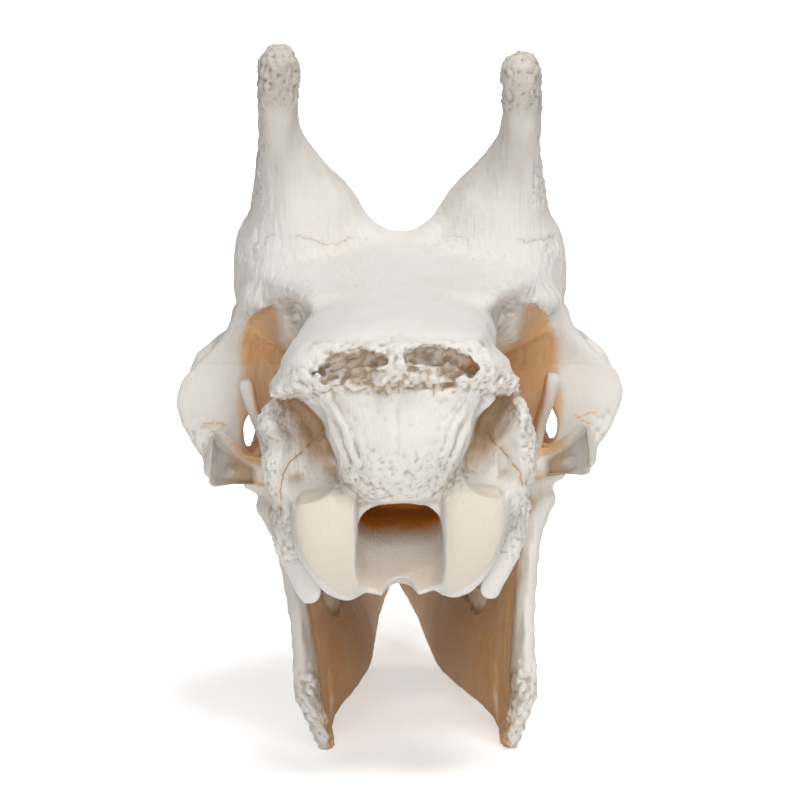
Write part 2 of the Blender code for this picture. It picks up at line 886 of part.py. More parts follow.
def clear_scene():
    for obj in list(bpy.data.objects):
        bpy.data.objects.remove(obj)


def finish_bone(obj):
    obj.data.name = obj.name
    material = bpy.data.materials.new(obj.name + "_bone")
    material.use_nodes = True
    shader = material.node_tree.nodes["Principled BSDF"]
    shader.inputs["Base Color"].default_value = (0.76, 0.70, 0.58, 1.0)
    shader.inputs["Roughness"].default_value = 0.62
    obj.data.materials.clear()
    obj.data.materials.append(material)
    for polygon in obj.data.polygons:
        polygon.material_index = 0
    obj.data.shade_smooth()
    obj.data.set_sharp_from_angle(angle=math.radians(42))


def main():
    clear_scene()
    skull = cranium()
    reduce_faces(skull, SKULL_TRIANGLES)
    joint = jaw_condyle(grow=JAW_CLEARANCE)
    joints = paired([joint])
    for form in joints:
        jaw_shear(form)
    combine(skull, joints, "DIFFERENCE")
    uneven(skull)
    bones = part_bones(skull)
    combine(bones["upper_jaw"], paired(tooth_row(UPPER_TEETH, 73.5, 89.0, 106.0)), "UNION")
    for side, word in ((-1, "left"), (1, "right")):
        bones["mandible_" + word] = jaw_half(side, JAW_TRIANGLES)
    points = [vert.co for obj in bones.values() for vert in obj.data.vertices]
    low = Vector(min(point[axis] for point in points) for axis in range(3))
    high = Vector(max(point[axis] for point in points) for axis in range(3))
    centre = Vector(((low.x + high.x) / 2, (low.y + high.y) / 2, low.z))
    for name, obj in bones.items():
        obj.name = name
        obj.data.transform(Matrix.Translation(-centre))
        finish_bone(obj)
    return centre


if __name__ == "__main__":
    main()
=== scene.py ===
# Giraffe skull standing on its lower jaw, seen from behind: dry bone, worn teeth, pale studio floor.
# Lengths in the settings are millimetres: y counts forward from the back of the condyles, z up from the
# floor.
import math
import time

import bmesh
import bpy
import numpy as np
from mathutils import Matrix, Vector
from mathutils.kdtree import KDTree


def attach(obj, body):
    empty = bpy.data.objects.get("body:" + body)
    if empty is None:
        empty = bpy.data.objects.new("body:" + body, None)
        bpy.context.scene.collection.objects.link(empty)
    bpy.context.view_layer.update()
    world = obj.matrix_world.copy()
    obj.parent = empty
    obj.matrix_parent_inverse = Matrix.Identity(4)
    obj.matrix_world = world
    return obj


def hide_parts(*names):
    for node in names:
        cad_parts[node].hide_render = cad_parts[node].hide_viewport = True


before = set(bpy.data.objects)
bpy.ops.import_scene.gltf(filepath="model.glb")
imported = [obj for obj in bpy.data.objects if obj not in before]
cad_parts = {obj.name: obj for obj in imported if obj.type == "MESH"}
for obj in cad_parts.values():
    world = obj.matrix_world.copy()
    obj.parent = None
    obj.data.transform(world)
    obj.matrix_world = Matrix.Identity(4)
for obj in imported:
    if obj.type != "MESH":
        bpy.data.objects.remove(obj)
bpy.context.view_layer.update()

startTime = time.time()
mm = 0.001
middleY = 305.0  # the skull's own middle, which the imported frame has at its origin


def report(stage):
    print(f"{time.time() - startTime:6.1f} s  {stage}")


# Forms

def smoothRows(rows, steps):
    # rows of numbers joined by a smooth curve
    rows = np.array(rows, float)
    span = np.linalg.norm(np.diff(rows[:, :3], axis=0), axis=1)
    slope = np.diff(rows, axis=0) / span[:, None]
    inner = (slope[:-1] * span[1:, None] + slope[1:] * span[:-1, None]) / (span[1:] + span[:-1])[:, None]
    slopes = np.vstack([slope[:1], inner, slope[-1:]])
    made = []
    for i, length in enumerate(span):
        for t in np.arange(steps) / steps:
            near = (1 + 2 * t) * (1 - t) ** 2
            far = t * t * (3 - 2 * t)
            bend = t * (1 - t) ** 2 * slopes[i] - t * t * (1 - t) * slopes[i + 1]
            made.append(near * rows[i] + far * rows[i + 1] + length * bend)
    made.append(rows[-1])
    return np.array(made)


def meshObject(name, bm):
    mesh = bpy.data.meshes.new(name)
    bm.to_mesh(mesh)
    bm.free()
    made = bpy.data.objects.new(name, mesh)
    bpy.context.scene.collection.objects.link(made)
    return made


def loft(name, rings, dome=0):
    # one closed form through rings of points, its ends flat or swelling into domes
    rings = [np.array(ring, float) for ring in rings]
    for first, second, atStart in ((0, 1, True), (-1, -2, False)) if dome else ():
        ring, centre = rings[first], rings[first].mean(axis=0)
        outward = centre - rings[second].mean(axis=0)
        outward /= np.linalg.norm(outward)
        depth = dome * np.linalg.norm(ring - centre, axis=1).min()
        caps = []
        for angle in (35, 65, 85):
            shrink, push = math.cos(math.radians(angle)), math.sin(math.radians(angle))
            caps.append(centre + (ring - centre) * shrink + outward * depth * push)
        rings = caps[::-1] + rings if atStart else rings + caps
    bm = bmesh.new()
    verts = bmesh.ops.create_circle(bm, segments=len(rings[0]), radius=1.0)["verts"]
    edges = list(bm.edges)
    for index, ring in enumerate(rings):
        if index:
            made = bmesh.ops.extrude_edge_only(bm, edges=edges)["geom"]
            edges = [item for item in made if isinstance(item, bmesh.types.BMEdge)]
            fresh = {item for item in made if isinstance(item, bmesh.types.BMVert)}
            verts = [next(e.other_vert(v) for e in v.link_edges if e.other_vert(v) in fresh) for v in verts]
        for vert, point in zip(verts, ring):
            vert.co = Vector(point) * mm
    bmesh.ops.holes_fill(bm, edges=bm.edges, sides=len(rings[0]))
    bmesh.ops.recalc_face_normals(bm, faces=bm.faces)
    return meshObject(name, bm)


def roundSection(sides, squareness):
    angle = (np.arange(sides) + 0.5) * 2 * math.pi / sides
    power = 2 / squareness
    across = np.sign(np.cos(angle)) * np.abs(np.cos(angle)) ** power
    up = np.sign(np.sin(angle)) * np.abs(np.sin(angle)) ** power
    return across, up


def longForm(name, rows, squareness=2.6, sides=40, dome=0.3, steps=5):
    # rows along the skull: y, low z, high z, half-widths at the bottom, middle and top, then x at the bottom
    # and top where the form lies off the middle
    across, up = roundSection(sides, squareness)
    rings = []
    for row in smoothRows(rows, steps):
        y, low, high, wLow, wMid, wHigh = row[:6]
        xLow, xHigh = row[6:8] if len(row) > 6 else (0.0, 0.0)
        width = wMid + (wHigh - wLow) / 2 * up + ((wHigh + wLow) / 2 - wMid) * up**2
        centre = (xLow + xHigh) / 2 + (xHigh - xLow) / 2 * up
        z = (low + high) / 2 + (high - low) / 2 * up
        rings.append(np.stack([centre + width * across, np.full(sides, y), z], axis=1))
    return loft(name, rings, dome)


def plateForm(name, rows, squareness=2.4, sides=32, dome=0.3, steps=5):
    # rows up a plate: z, y and x of its back edge, y and x of its front edge, half its thickness
    across, along = roundSection(sides, squareness)
    rings = []
    for z, backY, backX, frontY, frontX, thick in smoothRows(rows, steps):
        share = (along + 1) / 2
        lean = Vector((frontY - backY, backX - frontX)).normalized()
        x = backX + (frontX - backX) * share + across * thick * lean.x
        y = backY + (frontY - backY) * share + across * thick * lean.y
        rings.append(np.stack([x, y, np.full(sides, z)], axis=1))
    return loft(name, rings, dome)


def tube(name, rows, across=(1, 0, 0), squareness=2.0, sides=24, dome=0.9, steps=6):
    # rows along a curve: x, y, z, the half-width along across and the half-width square to it
    unitAcross, unitOther = roundSection(sides, squareness)
    rows = smoothRows(rows, steps)
    rings = []
    for row, tangent in zip(rows, np.gradient(rows[:, :3], axis=0)):
        tangent = tangent / np.linalg.norm(tangent)
        side = np.array(across, float) - np.dot(across, tangent) * tangent
        side /= np.linalg.norm(side)
        other = np.cross(tangent, side)
        rings.append(row[:3] + np.outer(unitAcross, side) * row[3] + np.outer(unitOther, other) * row[4])
    return loft(name, rings, dome)


def ball(name, centre, radii, turn=(0, 0, 0)):
    bm = bmesh.new()
    bmesh.ops.create_uvsphere(bm, u_segments=32, v_segments=20, radius=1.0)
    bmesh.ops.scale(bm, vec=Vector(radii) * mm, verts=bm.verts)
    for degrees, axis in zip(turn, "XYZ"):
        bmesh.ops.rotate(bm, matrix=Matrix.Rotation(math.radians(degrees), 3, axis), verts=bm.verts)
    bmesh.ops.translate(bm, vec=Vector(centre) * mm, verts=bm.verts)
    return meshObject(name, bm)


def prism(name, outline, low, high, along="Z"):
    # a straight-sided region, its outline drawn from low to high
    rings = [[(a, b, level) if along == "Z" else (level, a, b) for a, b in outline] for level in (low, high)]
    return loft(name, rings)


def flip(form):
    bm = bmesh.new()
    bm.from_mesh(form.data)
    bmesh.ops.scale(bm, vec=(-1, 1, 1), verts=bm.verts)
    bmesh.ops.reverse_faces(bm, faces=bm.faces)
    bm.to_mesh(form.data)
    bm.free()
    return form


def copyOf(form, name):
    made = bpy.data.objects.new(name, form.data.copy())
    bpy.context.scene.collection.objects.link(made)
    return made


def bothSides(forms):
    return forms + [flip(copyOf(form, form.name + "Other")) for form in forms]


def applyModifiers(form):
    bpy.context.view_layer.update()
    graph = bpy.context.evaluated_depsgraph_get()
    mesh = bpy.data.meshes.new_from_object(form.evaluated_get(graph))
    form.modifiers.clear()
    form.data = mesh


def combine(form, others, operation):
    group = bpy.data.collections.new(form.name + operation.title())
    for other in others:
        group.objects.link(other)
    boolean = form.modifiers.new(operation.title(), "BOOLEAN")
    boolean.operation = operation
    boolean.operand_type = "COLLECTION"
    boolean.collection = group
    boolean.solver = "MANIFOLD"
    applyModifiers(form)
    for other in others:
        bpy.data.objects.remove(other)
    bpy.data.collections.remove(group)
    return form


def soften(form, voxel, passes):
    # one even skin over fused forms, relaxed so that they run into one another
    remesh = form.modifiers.new("Even skin", "REMESH")
    remesh.mode = "VOXEL"
    remesh.voxel_size = voxel * mm
    if passes:
        smooth = form.modifiers.new("Run together", "SMOOTH")
        smooth.factor = 0.5
        smooth.iterations = passes
    applyModifiers(form)
    return form


def dropCrumbs(form, share=0.02):
    # labels every point with its island's lowest number, then drops the islands that are crumbs beside the
    # biggest
    mesh = form.data
    count = len(mesh.vertices)
    ends = np.empty(len(mesh.edges) * 2, np.int32)
    mesh.edges.foreach_get("vertices", ends)
    ends = ends.reshape(-1, 2)
    label = np.arange(count)
    while True:
        lowest = label.copy()
        np.minimum.at(lowest, ends[:, 0], label[ends[:, 1]])
        np.minimum.at(lowest, ends[:, 1], label[ends[:, 0]])
        lowest = lowest[lowest]
        if (lowest == label).all():
            break
        label = lowest
    names, sizes = np.unique(label, return_counts=True)
    crumbs = names[sizes < share * sizes.max()]
    if len(crumbs):
        bm = bmesh.new()
        bm.from_mesh(mesh)
        bm.verts.ensure_lookup_table()
        loose = [bm.verts[i] for i in np.flatnonzero(np.isin(label, crumbs))]
        bmesh.ops.delete(bm, geom=loose, context="VERTS")
        bm.to_mesh(mesh)
        bm.free()
    print(f"{form.name}: {len(crumbs)} crumbs dropped, {len(names) - len(crumbs)} kept")
    return form


# Skull: the same forms as the solids, from broad masses to hollows

skull = {
    "vault": [
        (22, 152, 238, 48, 54, 46),
        (45, 147, 250, 48, 53, 50),
        (80, 147, 263, 44, 51, 56),
        (120, 150, 276, 42, 50, 62),
        (160, 158, 287, 42, 52, 70),
        (200, 168, 289, 44, 54, 76),
        (235, 176, 284, 42, 54, 66),
    ],
    "nape": [
        (25, 112, 232, 52, 69, 52),
        (32, 106, 238, 56, 73, 56),
        (44, 110, 242, 52, 71, 54),
        (60, 132, 248, 44, 60, 52),
        (76, 146, 250, 40, 53, 50),
        (92, 158, 252, 36, 46, 48),
    ],
    "cap": [
        (3, 215, 238.5, 46, 50, 36),
        (9, 211, 243, 62, 58, 44),
        (18, 207, 247, 72, 61, 49),
        (36, 204, 251, 74, 62, 51),
        (62, 206, 257, 54, 56, 50),
        (84, 214, 261, 48, 51, 48),
    ],
    "base": [
        (14, 101, 124, 21, 22, 20),
        (30, 100, 128, 20, 23, 24),
        (60, 112, 150, 16, 28, 36),
        (100, 122, 162, 16, 32, 40),
        (140, 132, 170, 14, 26, 34),
        (170, 136, 178, 12, 17, 24),
        (225, 128, 190, 14, 20, 24),
    ],
    "brow": [
        (72, 246, 260, 48, 52, 42),
        (98, 249, 268, 58, 62, 48),
        (124, 248, 277, 70, 77, 56),
        (145, 246, 284, 80, 89, 64),
        (165, 241, 289, 84, 93, 70),
        (200, 232, 288, 84, 89, 66),
        (235, 212, 283, 70, 75, 56),
        (265, 186, 272, 54, 58, 42),
        (300, 180, 254, 44, 48, 33),
        (330, 176, 236, 36, 38, 24),
    ],
    "face": [
        (205, 126, 276, 40, 46, 56),
        (235, 88, 279, 60, 60, 52),
        (262, 86, 271, 61, 60, 42),
        (300, 87, 252, 58, 53, 34),
        (340, 88, 232, 53, 45, 28),
        (385, 90, 209, 43, 37, 24),
        (420, 91, 190, 33, 31, 22),
        (460, 91, 170, 27, 27, 20),
        (490, 90, 146, 25, 25, 19),
        (515, 89, 124, 24, 24, 18),
    ],
    "horn": [
        (51, 173, 264, 47.5, 50),
        (55, 170, 284, 42, 44),
        (57.5, 164, 303, 32.5, 34),
        (61.5, 160, 316, 24.5, 28),
        (64.8, 155, 328, 18.2, 23),
        (67.8, 148, 341, 12.8, 18.5),
        (68.8, 140, 354, 11.4, 15.5),
        (68.5, 131, 368, 11.6, 13.5),
        (67.5, 122, 381, 12.2, 13),
    ],
    "saddle": [
        (-40, 166, 300, 15, 9),
        (-22, 166, 289, 20, 9),
        (0, 166, 278, 24, 9),
        (22, 166, 289, 20, 9),
        (40, 166, 300, 15, 9),
    ],
    "wing": [
        (148, 180, 95, 174, 111, 6),
        (160, 183, 82, 178, 118.5, 5.5),
        (175, 182, 66, 180, 128.5, 4.8),
        (190, 181, 62, 180, 133.5, 4.8),
        (204, 186, 58, 180, 131, 5.5),
        (216, 195, 56, 178, 119, 6.5),
        (228, 200, 54, 175, 106, 8),
        (242, 196, 54, 170, 97, 9),
        (258, 190, 54, 168, 92, 10),
    ],
    "cheek": [
        (240, 140, 264, 16, 21, 14, 60, 54),
        (258, 130, 262, 18, 23, 15, 54, 48),
        (282, 122, 252, 20, 24, 16, 44, 38),
        (312, 116, 236, 19, 22, 15, 31, 25),
        (345, 114, 218, 14, 17, 10, 25, 18),
    ],
    "lid": [(66, 210, 260, 36, 9), (84, 209, 248, 33, 9), (98, 207, 234, 29, 7.5), (107, 207, 222, 20, 5)],
    "crest": [
        (-63, 27, 212, 7, 6),
        (-50, 15, 219, 9, 10),
        (-28, 8, 224, 10, 12),
        (0, 5, 226, 10, 12.5),
        (28, 8, 224, 10, 12),
        (50, 15, 219, 9, 10),
        (63, 27, 212, 7, 6),
    ],
    "column": [
        (0, 22, 224, 52, 16),
        (0, 20.5, 208, 46, 15.5),
        (0, 19.5, 194, 38, 15),
        (0, 19.5, 180, 34, 14),
        (0, 20, 167, 28, 12.5),
        (0, 23, 154, 22, 10),
    ],
    "condyle": [
        (40, 26, 158.5, 16.5, 10),
        (39.6, 16, 143, 17.4, 14),
        (36.4, 13.5, 127, 15.8, 14),
        (30.6, 15, 115, 12.4, 12),
        (24, 21, 107, 8, 9),
    ],
    "neck": [(44, 34, 168, 14, 12), (40, 34, 148, 15, 14), (34, 32, 126, 14, 14)],
    "paracondyle": [(58, 38, 145, 12, 8), (57, 36, 128, 10, 6), (52, 33, 112, 7.5, 5), (47, 31, 100, 6, 4)],
    "ear": [(46, 92, 150, 8, 8), (60, 88, 152, 7, 7), (71, 86, 153, 6, 6)],
    "jugal": [
        (62, 270, 122, 9, 18),
        (78, 252, 138, 8, 13),
        (97, 226, 149, 8, 9),
        (108, 200, 153, 7, 9),
        (110, 176, 156, 6, 9),
    ],
    "arch": [
        (110, 182, 158, 9, 5),
        (108.5, 164, 160, 11, 4.5),
        (106, 150, 163, 15, 4),
        (104, 142, 163, 16, 4),
    ],
    "socket": [
        (106, 144, 163, 17, 3.5),
        (100, 137, 161, 14, 5),
        (91, 129, 158, 9, 6),
        (81, 122, 155.6, 5.5, 7),
        (67, 116, 156, 7, 8),
        (50, 110, 158, 10, 9),
    ],
    "seat": [(60, 132, 156, 16, 7), (84, 138, 156.5, 13, 7.5), (102, 144, 158, 9, 7)],
    "pterygoid": [
        (98, 186, 22, 212, 23, 3),
        (112, 170, 22, 218, 24, 3),
        (130, 152, 22, 226, 26, 3.5),
        (150, 140, 21, 236, 28, 5),
    ],
    "tuber": [(50, 234, 96, 13, 16), (50, 231, 118, 12, 13), (46, 231, 140, 12, 13)],
    "bar": [
        (25, 430, 150, 4.5, 13),
        (25.5, 475, 130, 4.5, 11),
        (25, 520, 110, 5, 9),
        (25, 560, 97, 7, 6),
        (22, 586, 89, 11, 5),
        (19, 597, 87, 12, 4),
    ],
    "inner": [(7, 480, 94, 4, 4), (7, 530, 92, 4, 4), (9, 582, 88, 7, 4)],
    "lowerLip": [(-27, 21, 108.2, 6, 5), (0, 21, 108, 6, 5), (27, 21, 108.2, 6, 5)],
    # the ring round an eye socket: its middle, its reach forward and outward, its reach upward, its thickness
    "orbitRim": ((100, 220, 190), (-22, 36, 0), (0, 0, 36), 6),
    # rounded swellings and hollows: middle, radii and, where they are turned, degrees about x, y and z
    "brim": ((72, 146, 250), (22, 23, 13)),
    "shoulder": ((47.5, 25, 151.5), (10.5, 11, 8)),
    "bulla": ((42, 74, 130), (12, 19, 17)),
    "brain": ((0, 100, 176), (29, 48, 30)),
    "napePit": ((50, 13, 192), (13, 21, 20), (0, 22, 0)),
    "sidePit": ((49, 16, 172), (18, 14, 22), (0, -14, 0)),
    "orbit": ((104, 216, 190), (34, 31, 31)),
    "tearPit": ((63, 268, 226), (5, 17, 7), (-24, 0, 12)),
    # hollows cut as tubes
    "notch": [(0, -20, 101, 8.5, 9), (0, 24, 101, 8.5, 9), (0, 44, 97, 6, 6)],
    "throat": [(0, 180, 118, 18, 15), (0, 230, 118, 17, 16), (0, 300, 124, 15, 16)],
    "palate": [(0, 215, 84, 30, 12), (0, 300, 85, 29, 12), (0, 360, 86, 24, 10), (0, 430, 86, 14, 7)],
    "window": [(86, 150, 175, 6, 11.5), (87, 192, 173, 6.5, 12), (90, 240, 170, 8, 13)],
    "earHole": [(52, 88, 151, 3.5, 3.5), (84, 85, 154, 3.5, 3.5)],
    "nerveHole": [(36, 360, 140, 4, 5), (46, 378, 138, 4, 5), (56, 396, 137, 5, 6)],
    "nose": [
        (590, 98, 190, 17, 18, 24),
        (540, 99, 190, 19, 20, 26),
        (490, 100, 190, 20, 21, 26),
        (455, 101, 180, 20, 22, 20),
        (430, 103, 178, 21, 23, 18),
        (400, 104, 188, 22, 25, 18),
        (360, 106, 196, 20, 26, 18),
        (320, 110, 190, 18, 22, 16),
        (290, 112, 160, 16, 18, 14),
    ],
    # the way into the braincase: a ramp between the condyles, then a low arch
    "canal": [
        (-25, 97, 150.5, 21.5, 23.5, 21),
        (8, 101, 150.5, 21.5, 23.5, 21),
        (18, 106, 150, 21.5, 23.3, 21),
        (30, 115, 151, 21, 23, 20),
        (45, 125, 154, 21, 23, 22),
        (62, 131, 162, 22, 25, 24),
        (90, 138, 178, 22, 26, 26),
    ],
    "temple": [
        (84, 205, 249, 8, 14, 8, 80, 71),
        (106, 180, 250, 13, 19, 10, 82, 71),
        (130, 173, 250, 14, 19, 10, 84, 73),
        (150, 172, 247, 14, 17, 9, 84, 83),
        (160, 173, 242, 15, 16, 8, 83, 85),
        (169, 175, 237, 15, 15, 6, 82, 86),
    ],
    # torn open bone behind the crest: deep under the upper lip, shallower below it
    "crestHollows": [
        [
            (-9, -3, 227, 6, 3),
            (-17, -1, 228, 9, 4.5),
            (-26, 1, 227, 9, 4.5),
            (-35, 4, 224.5, 8, 4),
            (-42, 9, 221, 6, 2.5),
        ],
        [
            (-10, -6, 218.5, 5, 4.5),
            (-19, -4, 219.5, 7.5, 6),
            (-28, -2, 219.5, 7.5, 5.5),
            (-38, 3, 218.5, 6, 4),
        ],
        [
            (5, -3, 228.5, 6, 3.5),
            (13, -1, 229.5, 9, 5),
            (23, 1, 228, 9, 5),
            (32, 4, 226, 8, 4.5),
            (40, 8, 222.5, 6, 3.5),
        ],
        [
            (7, -6, 219, 5, 5),
            (16, -4.5, 220, 7.5, 6),
            (27, -2, 220.5, 7.5, 6),
            (36, 2, 220, 6, 4),
        ],
    ],
    # voxel in millimetres and smoothing passes of the three skins
    "broadSkin": (2.5, 14),
    "middleSkin": (1.6, 4),
    "fineSkin": (1.2, 2),
}


def orbitRing(middle, outward, upward, thick):
    # rows for a tube that closes on itself round the eye socket
    rows = []
    for angle in np.linspace(0, 2 * math.pi, 17):
        turn = np.array(outward, float) * math.cos(angle) + np.array(upward, float) * math.sin(angle)
        rows.append((*(np.array(middle, float) + turn), thick, thick))
    return rows


def skullSkin(s):
    vault = longForm("vault", s["vault"], squareness=3.0)
    masses = [
        longForm("nape", s["nape"], squareness=2.2, dome=0.05),
        longForm("cap", s["cap"], squareness=2.3, dome=0.1),
        longForm("base", s["base"], dome=0.2),
        longForm("brow", s["brow"], squareness=2.5),
        longForm("face", s["face"], squareness=2.8),
        tube("saddle", s["saddle"], across=(0, 1, 0)),
    ]
    massPairs = [
        tube("horn", s["horn"], dome=1.0),
        plateForm("wing", s["wing"], dome=0.2),
        longForm("cheek", s["cheek"]),
        tube("lid", s["lid"], across=(0, 1, 0), squareness=2.4),
        ball("brim", *s["brim"]),
    ]
    combine(vault, masses + bothSides(massPairs), "UNION")
    soften(vault, *s["broadSkin"])
    report("broad masses of the skull")

    parts = [
        tube("crest", s["crest"], across=(0, 1, 0)),
        tube("column", s["column"], dome=0.2, squareness=2.3),
        tube("lowerLip", s["lowerLip"], across=(0, 1, 0)),
    ]
    pairs = [
        tube("rim", orbitRing(*s["orbitRim"]), across=(0.82, 0.57, 0), steps=2, dome=0.1),
        tube("condyle", s["condyle"], squareness=3.4, dome=0.4),
        ball("shoulder", *s["shoulder"]),
        tube("neck", s["neck"]),
        tube("paracondyle", s["paracondyle"], across=(1, 0.2, 0)),
        ball("bulla", *s["bulla"]),
        tube("ear", s["ear"], across=(0, 1, 0)),
        tube("jugal", s["jugal"], across=(1, 1, 0)),
        tube("arch", s["arch"], across=(0, 0, 1)),
        tube("socket", s["socket"], across=(0, 0, 1), squareness=3.6, dome=0.3),
        tube("seat", s["seat"], across=(0, 1, 0)),
        plateForm("pterygoid", s["pterygoid"]),
        tube("tuber", s["tuber"]),
        tube("bar", s["bar"], dome=0.5),
        tube("inner", s["inner"]),
    ]
    combine(vault, parts + bothSides(pairs), "UNION")
    soften(vault, *s["middleSkin"])
    report("condyles, crest, orbits and arches")

    hollows = [
        longForm("canal", s["canal"], squareness=3.4, dome=0.2),
        ball("brain", *s["brain"]),
        tube("notch", s["notch"]),
        longForm("nose", s["nose"], squareness=2.5, dome=0.3),
        tube("throat", s["throat"], squareness=2.6),
        tube("palate", s["palate"], dome=0.5),
    ]
    hollowPairs = [
        ball("napePit", *s["napePit"]),
        ball("sidePit", *s["sidePit"]),
        longForm("temple", s["temple"], squareness=2.4, dome=0.1),
        ball("orbit", *s["orbit"]),
        tube("window", s["window"]),
        tube("earHole", s["earHole"], across=(0, 1, 0)),
        ball("tearPit", *s["tearPit"]),
        tube("nerveHole", s["nerveHole"]),
    ]
    pits = [tube("crestHollow", rows, across=(0, 1, 0)) for rows in s["crestHollows"]]
    combine(vault, hollows + pits + bothSides(hollowPairs), "DIFFERENCE")
    soften(vault, *s["fineSkin"])
    report(f"hollows of the skull, {len(vault.data.polygons)} faces")
    return dropCrumbs(vault)


# Noise that is the same on every run

def latticeNumber(cell, seed):
    n = cell[..., 0] * 374761393 + cell[..., 1] * 668265263 + cell[..., 2] * 1440662683 + seed * 144269
    n = (n ^ (n >> 13)) & 0x7FFFFFFF
    n = (n * 1274126177) & 0x7FFFFFFF
    return ((n ^ (n >> 15)) & 0xFFFF) / 65535.0


def softNoise(points, size, seed, octaves=1):
    # smooth noise, most of it from -1 to 1, size being the width of its lumps
    total, reach, weight = 0.0, 0.0, 1.0
    for octave in range(octaves):
        p = points / (size / 2**octave) + 31.7 * (seed + octave)
        cell = np.floor(p).astype(np.int64)
        f = p - cell
        u = f * f * f * (f * (f * 6 - 15) + 10)
        value = 0.0
        for dx in (0, 1):
            for dy in (0, 1):
                for dz in (0, 1):
                    w = np.where(dx, u[:, 0], 1 - u[:, 0]) * np.where(dy, u[:, 1], 1 - u[:, 1])
                    w = w * np.where(dz, u[:, 2], 1 - u[:, 2])
                    value = value + w * latticeNumber(cell + np.array((dx, dy, dz)), seed + octave)
        total = total + weight * (value * 2 - 1)
        reach += weight
        weight *= 0.5
    return total / reach * 1.6


def grainNoise(points, size, seed):
    # distance to the nearest of scattered grains, in grain widths
    p = points / size
    cell = np.floor(p).astype(np.int64)
    nearest = np.full(len(p), 9.0)
    for dx in (-1, 0, 1):
        for dy in (-1, 0, 1):
            for dz in (-1, 0, 1):
                c = cell + np.array((dx, dy, dz))
                spot = np.stack([latticeNumber(c, seed + k) for k in (1, 2, 3)], axis=1)
                nearest = np.minimum(nearest, np.linalg.norm(c + spot - p, axis=1))
    return nearest


def fade(value, start, end):
    # 0 up to start, 1 from end on, smooth between them; start may lie above end
    t = np.clip((value - start) / (end - start), 0, 1)
    return t * t * (3 - 2 * t)


def within(value, low, high, soft):
    return fade(value, low - soft, low + soft) * (1 - fade(value, high - soft, high + soft))


def stretched(points, size, seed, octaves=1):
    # smooth noise drawn out along the axes: size gives the width of its lumps along x, y and z
    return softNoise(points / np.array(size) * 3, 3, seed, octaves)


def nearLine(points, line):
    # distance from each point to a broken line
    best = np.full(len(points), 1e9)
    line = np.array(line, float)
    for a, b in zip(line[:-1], line[1:]):
        along = np.clip(((points - a) @ (b - a)) / ((b - a) @ (b - a)), 0, 1)
        best = np.minimum(best, np.linalg.norm(points - a - along[:, None] * (b - a), axis=1))
    return best


def nearSpot(points, centre, radii):
    # 0 at a spot's centre and 1 at its edge
    return np.linalg.norm((points - np.array(centre)) / np.array(radii), axis=1)


def readPoints(form):
    mesh = form.data
    points = np.empty(len(mesh.vertices) * 3, np.float32)
    mesh.vertices.foreach_get("co", points)
    normals = np.empty(len(mesh.vertices) * 3, np.float32)
    mesh.vertex_normals.foreach_get("vector", normals)
    return points.reshape(-1, 3).astype(float) / mm, normals.reshape(-1, 3).astype(float)


def movePoints(form, points):
    form.data.vertices.foreach_set("co", (points * mm).astype(np.float32).ravel())
    form.data.update()


def hollowness(form, points, normals, passes):
    # how far a relaxed copy stands off the surface: positive in hollows, negative on ridges, in millimetres
    ends = np.empty(len(form.data.edges) * 2, np.int32)
    form.data.edges.foreach_get("vertices", ends)
    ends = ends.reshape(-1, 2)
    a, b = ends[:, 0], ends[:, 1]
    count = len(points)
    share = np.bincount(a, minlength=count) + np.bincount(b, minlength=count)
    relaxed = points.copy()
    for _ in range(passes):
        total = np.empty_like(relaxed)
        for axis in range(3):
            total[:, axis] = np.bincount(a, relaxed[b, axis], count) + np.bincount(b, relaxed[a, axis], count)
        relaxed = 0.5 * relaxed + 0.5 * total / share[:, None]
    return ((relaxed - points) * normals).sum(axis=1)


def uneven(form):
    # the right joint sits a little higher and the left horn is a little longer
    points, _ = readPoints(form)
    points[:, 2] += 0.03 * points[:, 0] * np.minimum(points[:, 2] / 150, 1 - (points[:, 2] - 150) / 120)
    movePoints(form, points)


# Sculpting: wear, breaks, scars and seams that the smooth forms don't have

seams = {
    # z and x of the cracks either side of the nape
    "leftNape": [(144, -62.5), (158, -63.5), (167, -62), (172, -58.5), (177, -52), (182, -46), (190, -39)],
    "rightNape": [(157, 64), (164, 63), (168, 60), (174, 55), (180, 50), (185, 46)],
    "hornBase": (288, 0.03, 1.7),  # height at the midline, fall per millimetre outward, size of its zigzags
    "depth": 0.5,
    "width": 0.7,
}


def crackField(points, normals):
    # signed distance in millimetres to the crack beside the nape, or to the horn's seam higher up, and how
    # far it is open
    x, y, z = points.T
    side = np.abs(x)
    crooked = 0.8 * softNoise(points, 9, 11, 3) + 0.8 * softNoise(points, 3.2, 12, 2)
    levels = np.arange(140, 192)
    field = z - hornSeam(points)
    opened = 0.5 * fade(side, 24, 30) * within(z, 262, 312, 3) * fade(softNoise(points, 14, 61), -0.7, 0.3)
    for line, sign in (("leftNape", -1), ("rightNape", 1)):
        heights, places = np.array(seams[line], float).T
        course = np.interp(levels, heights, places)
        slant = np.hypot(1, np.interp(z, levels, np.gradient(course)))
        gap = (sign * (np.interp(z, levels, course) - x) + crooked) / slant
        here = (x * sign > 0) & (z < 240)
        field = np.where(here, gap, field)
        reach = within(z, heights[0], heights[-1], 1.2) * fade(y, 50, 42) * fade(-normals[:, 1], -0.2, 0.2)
        opened = np.where(here, reach * fade(softNoise(points, 6, 68), -1.0, -0.3), opened)
    return field, opened


def hornSeam(points):
    # height of the zigzag seam round the base of a horn
    height, fall, zigzag = seams["hornBase"]
    wander = softNoise(points, 4, 29, 3) + 1.2 * softNoise(points, 19, 30)
    return height - fall * np.abs(points[:, 0]) + zigzag * wander


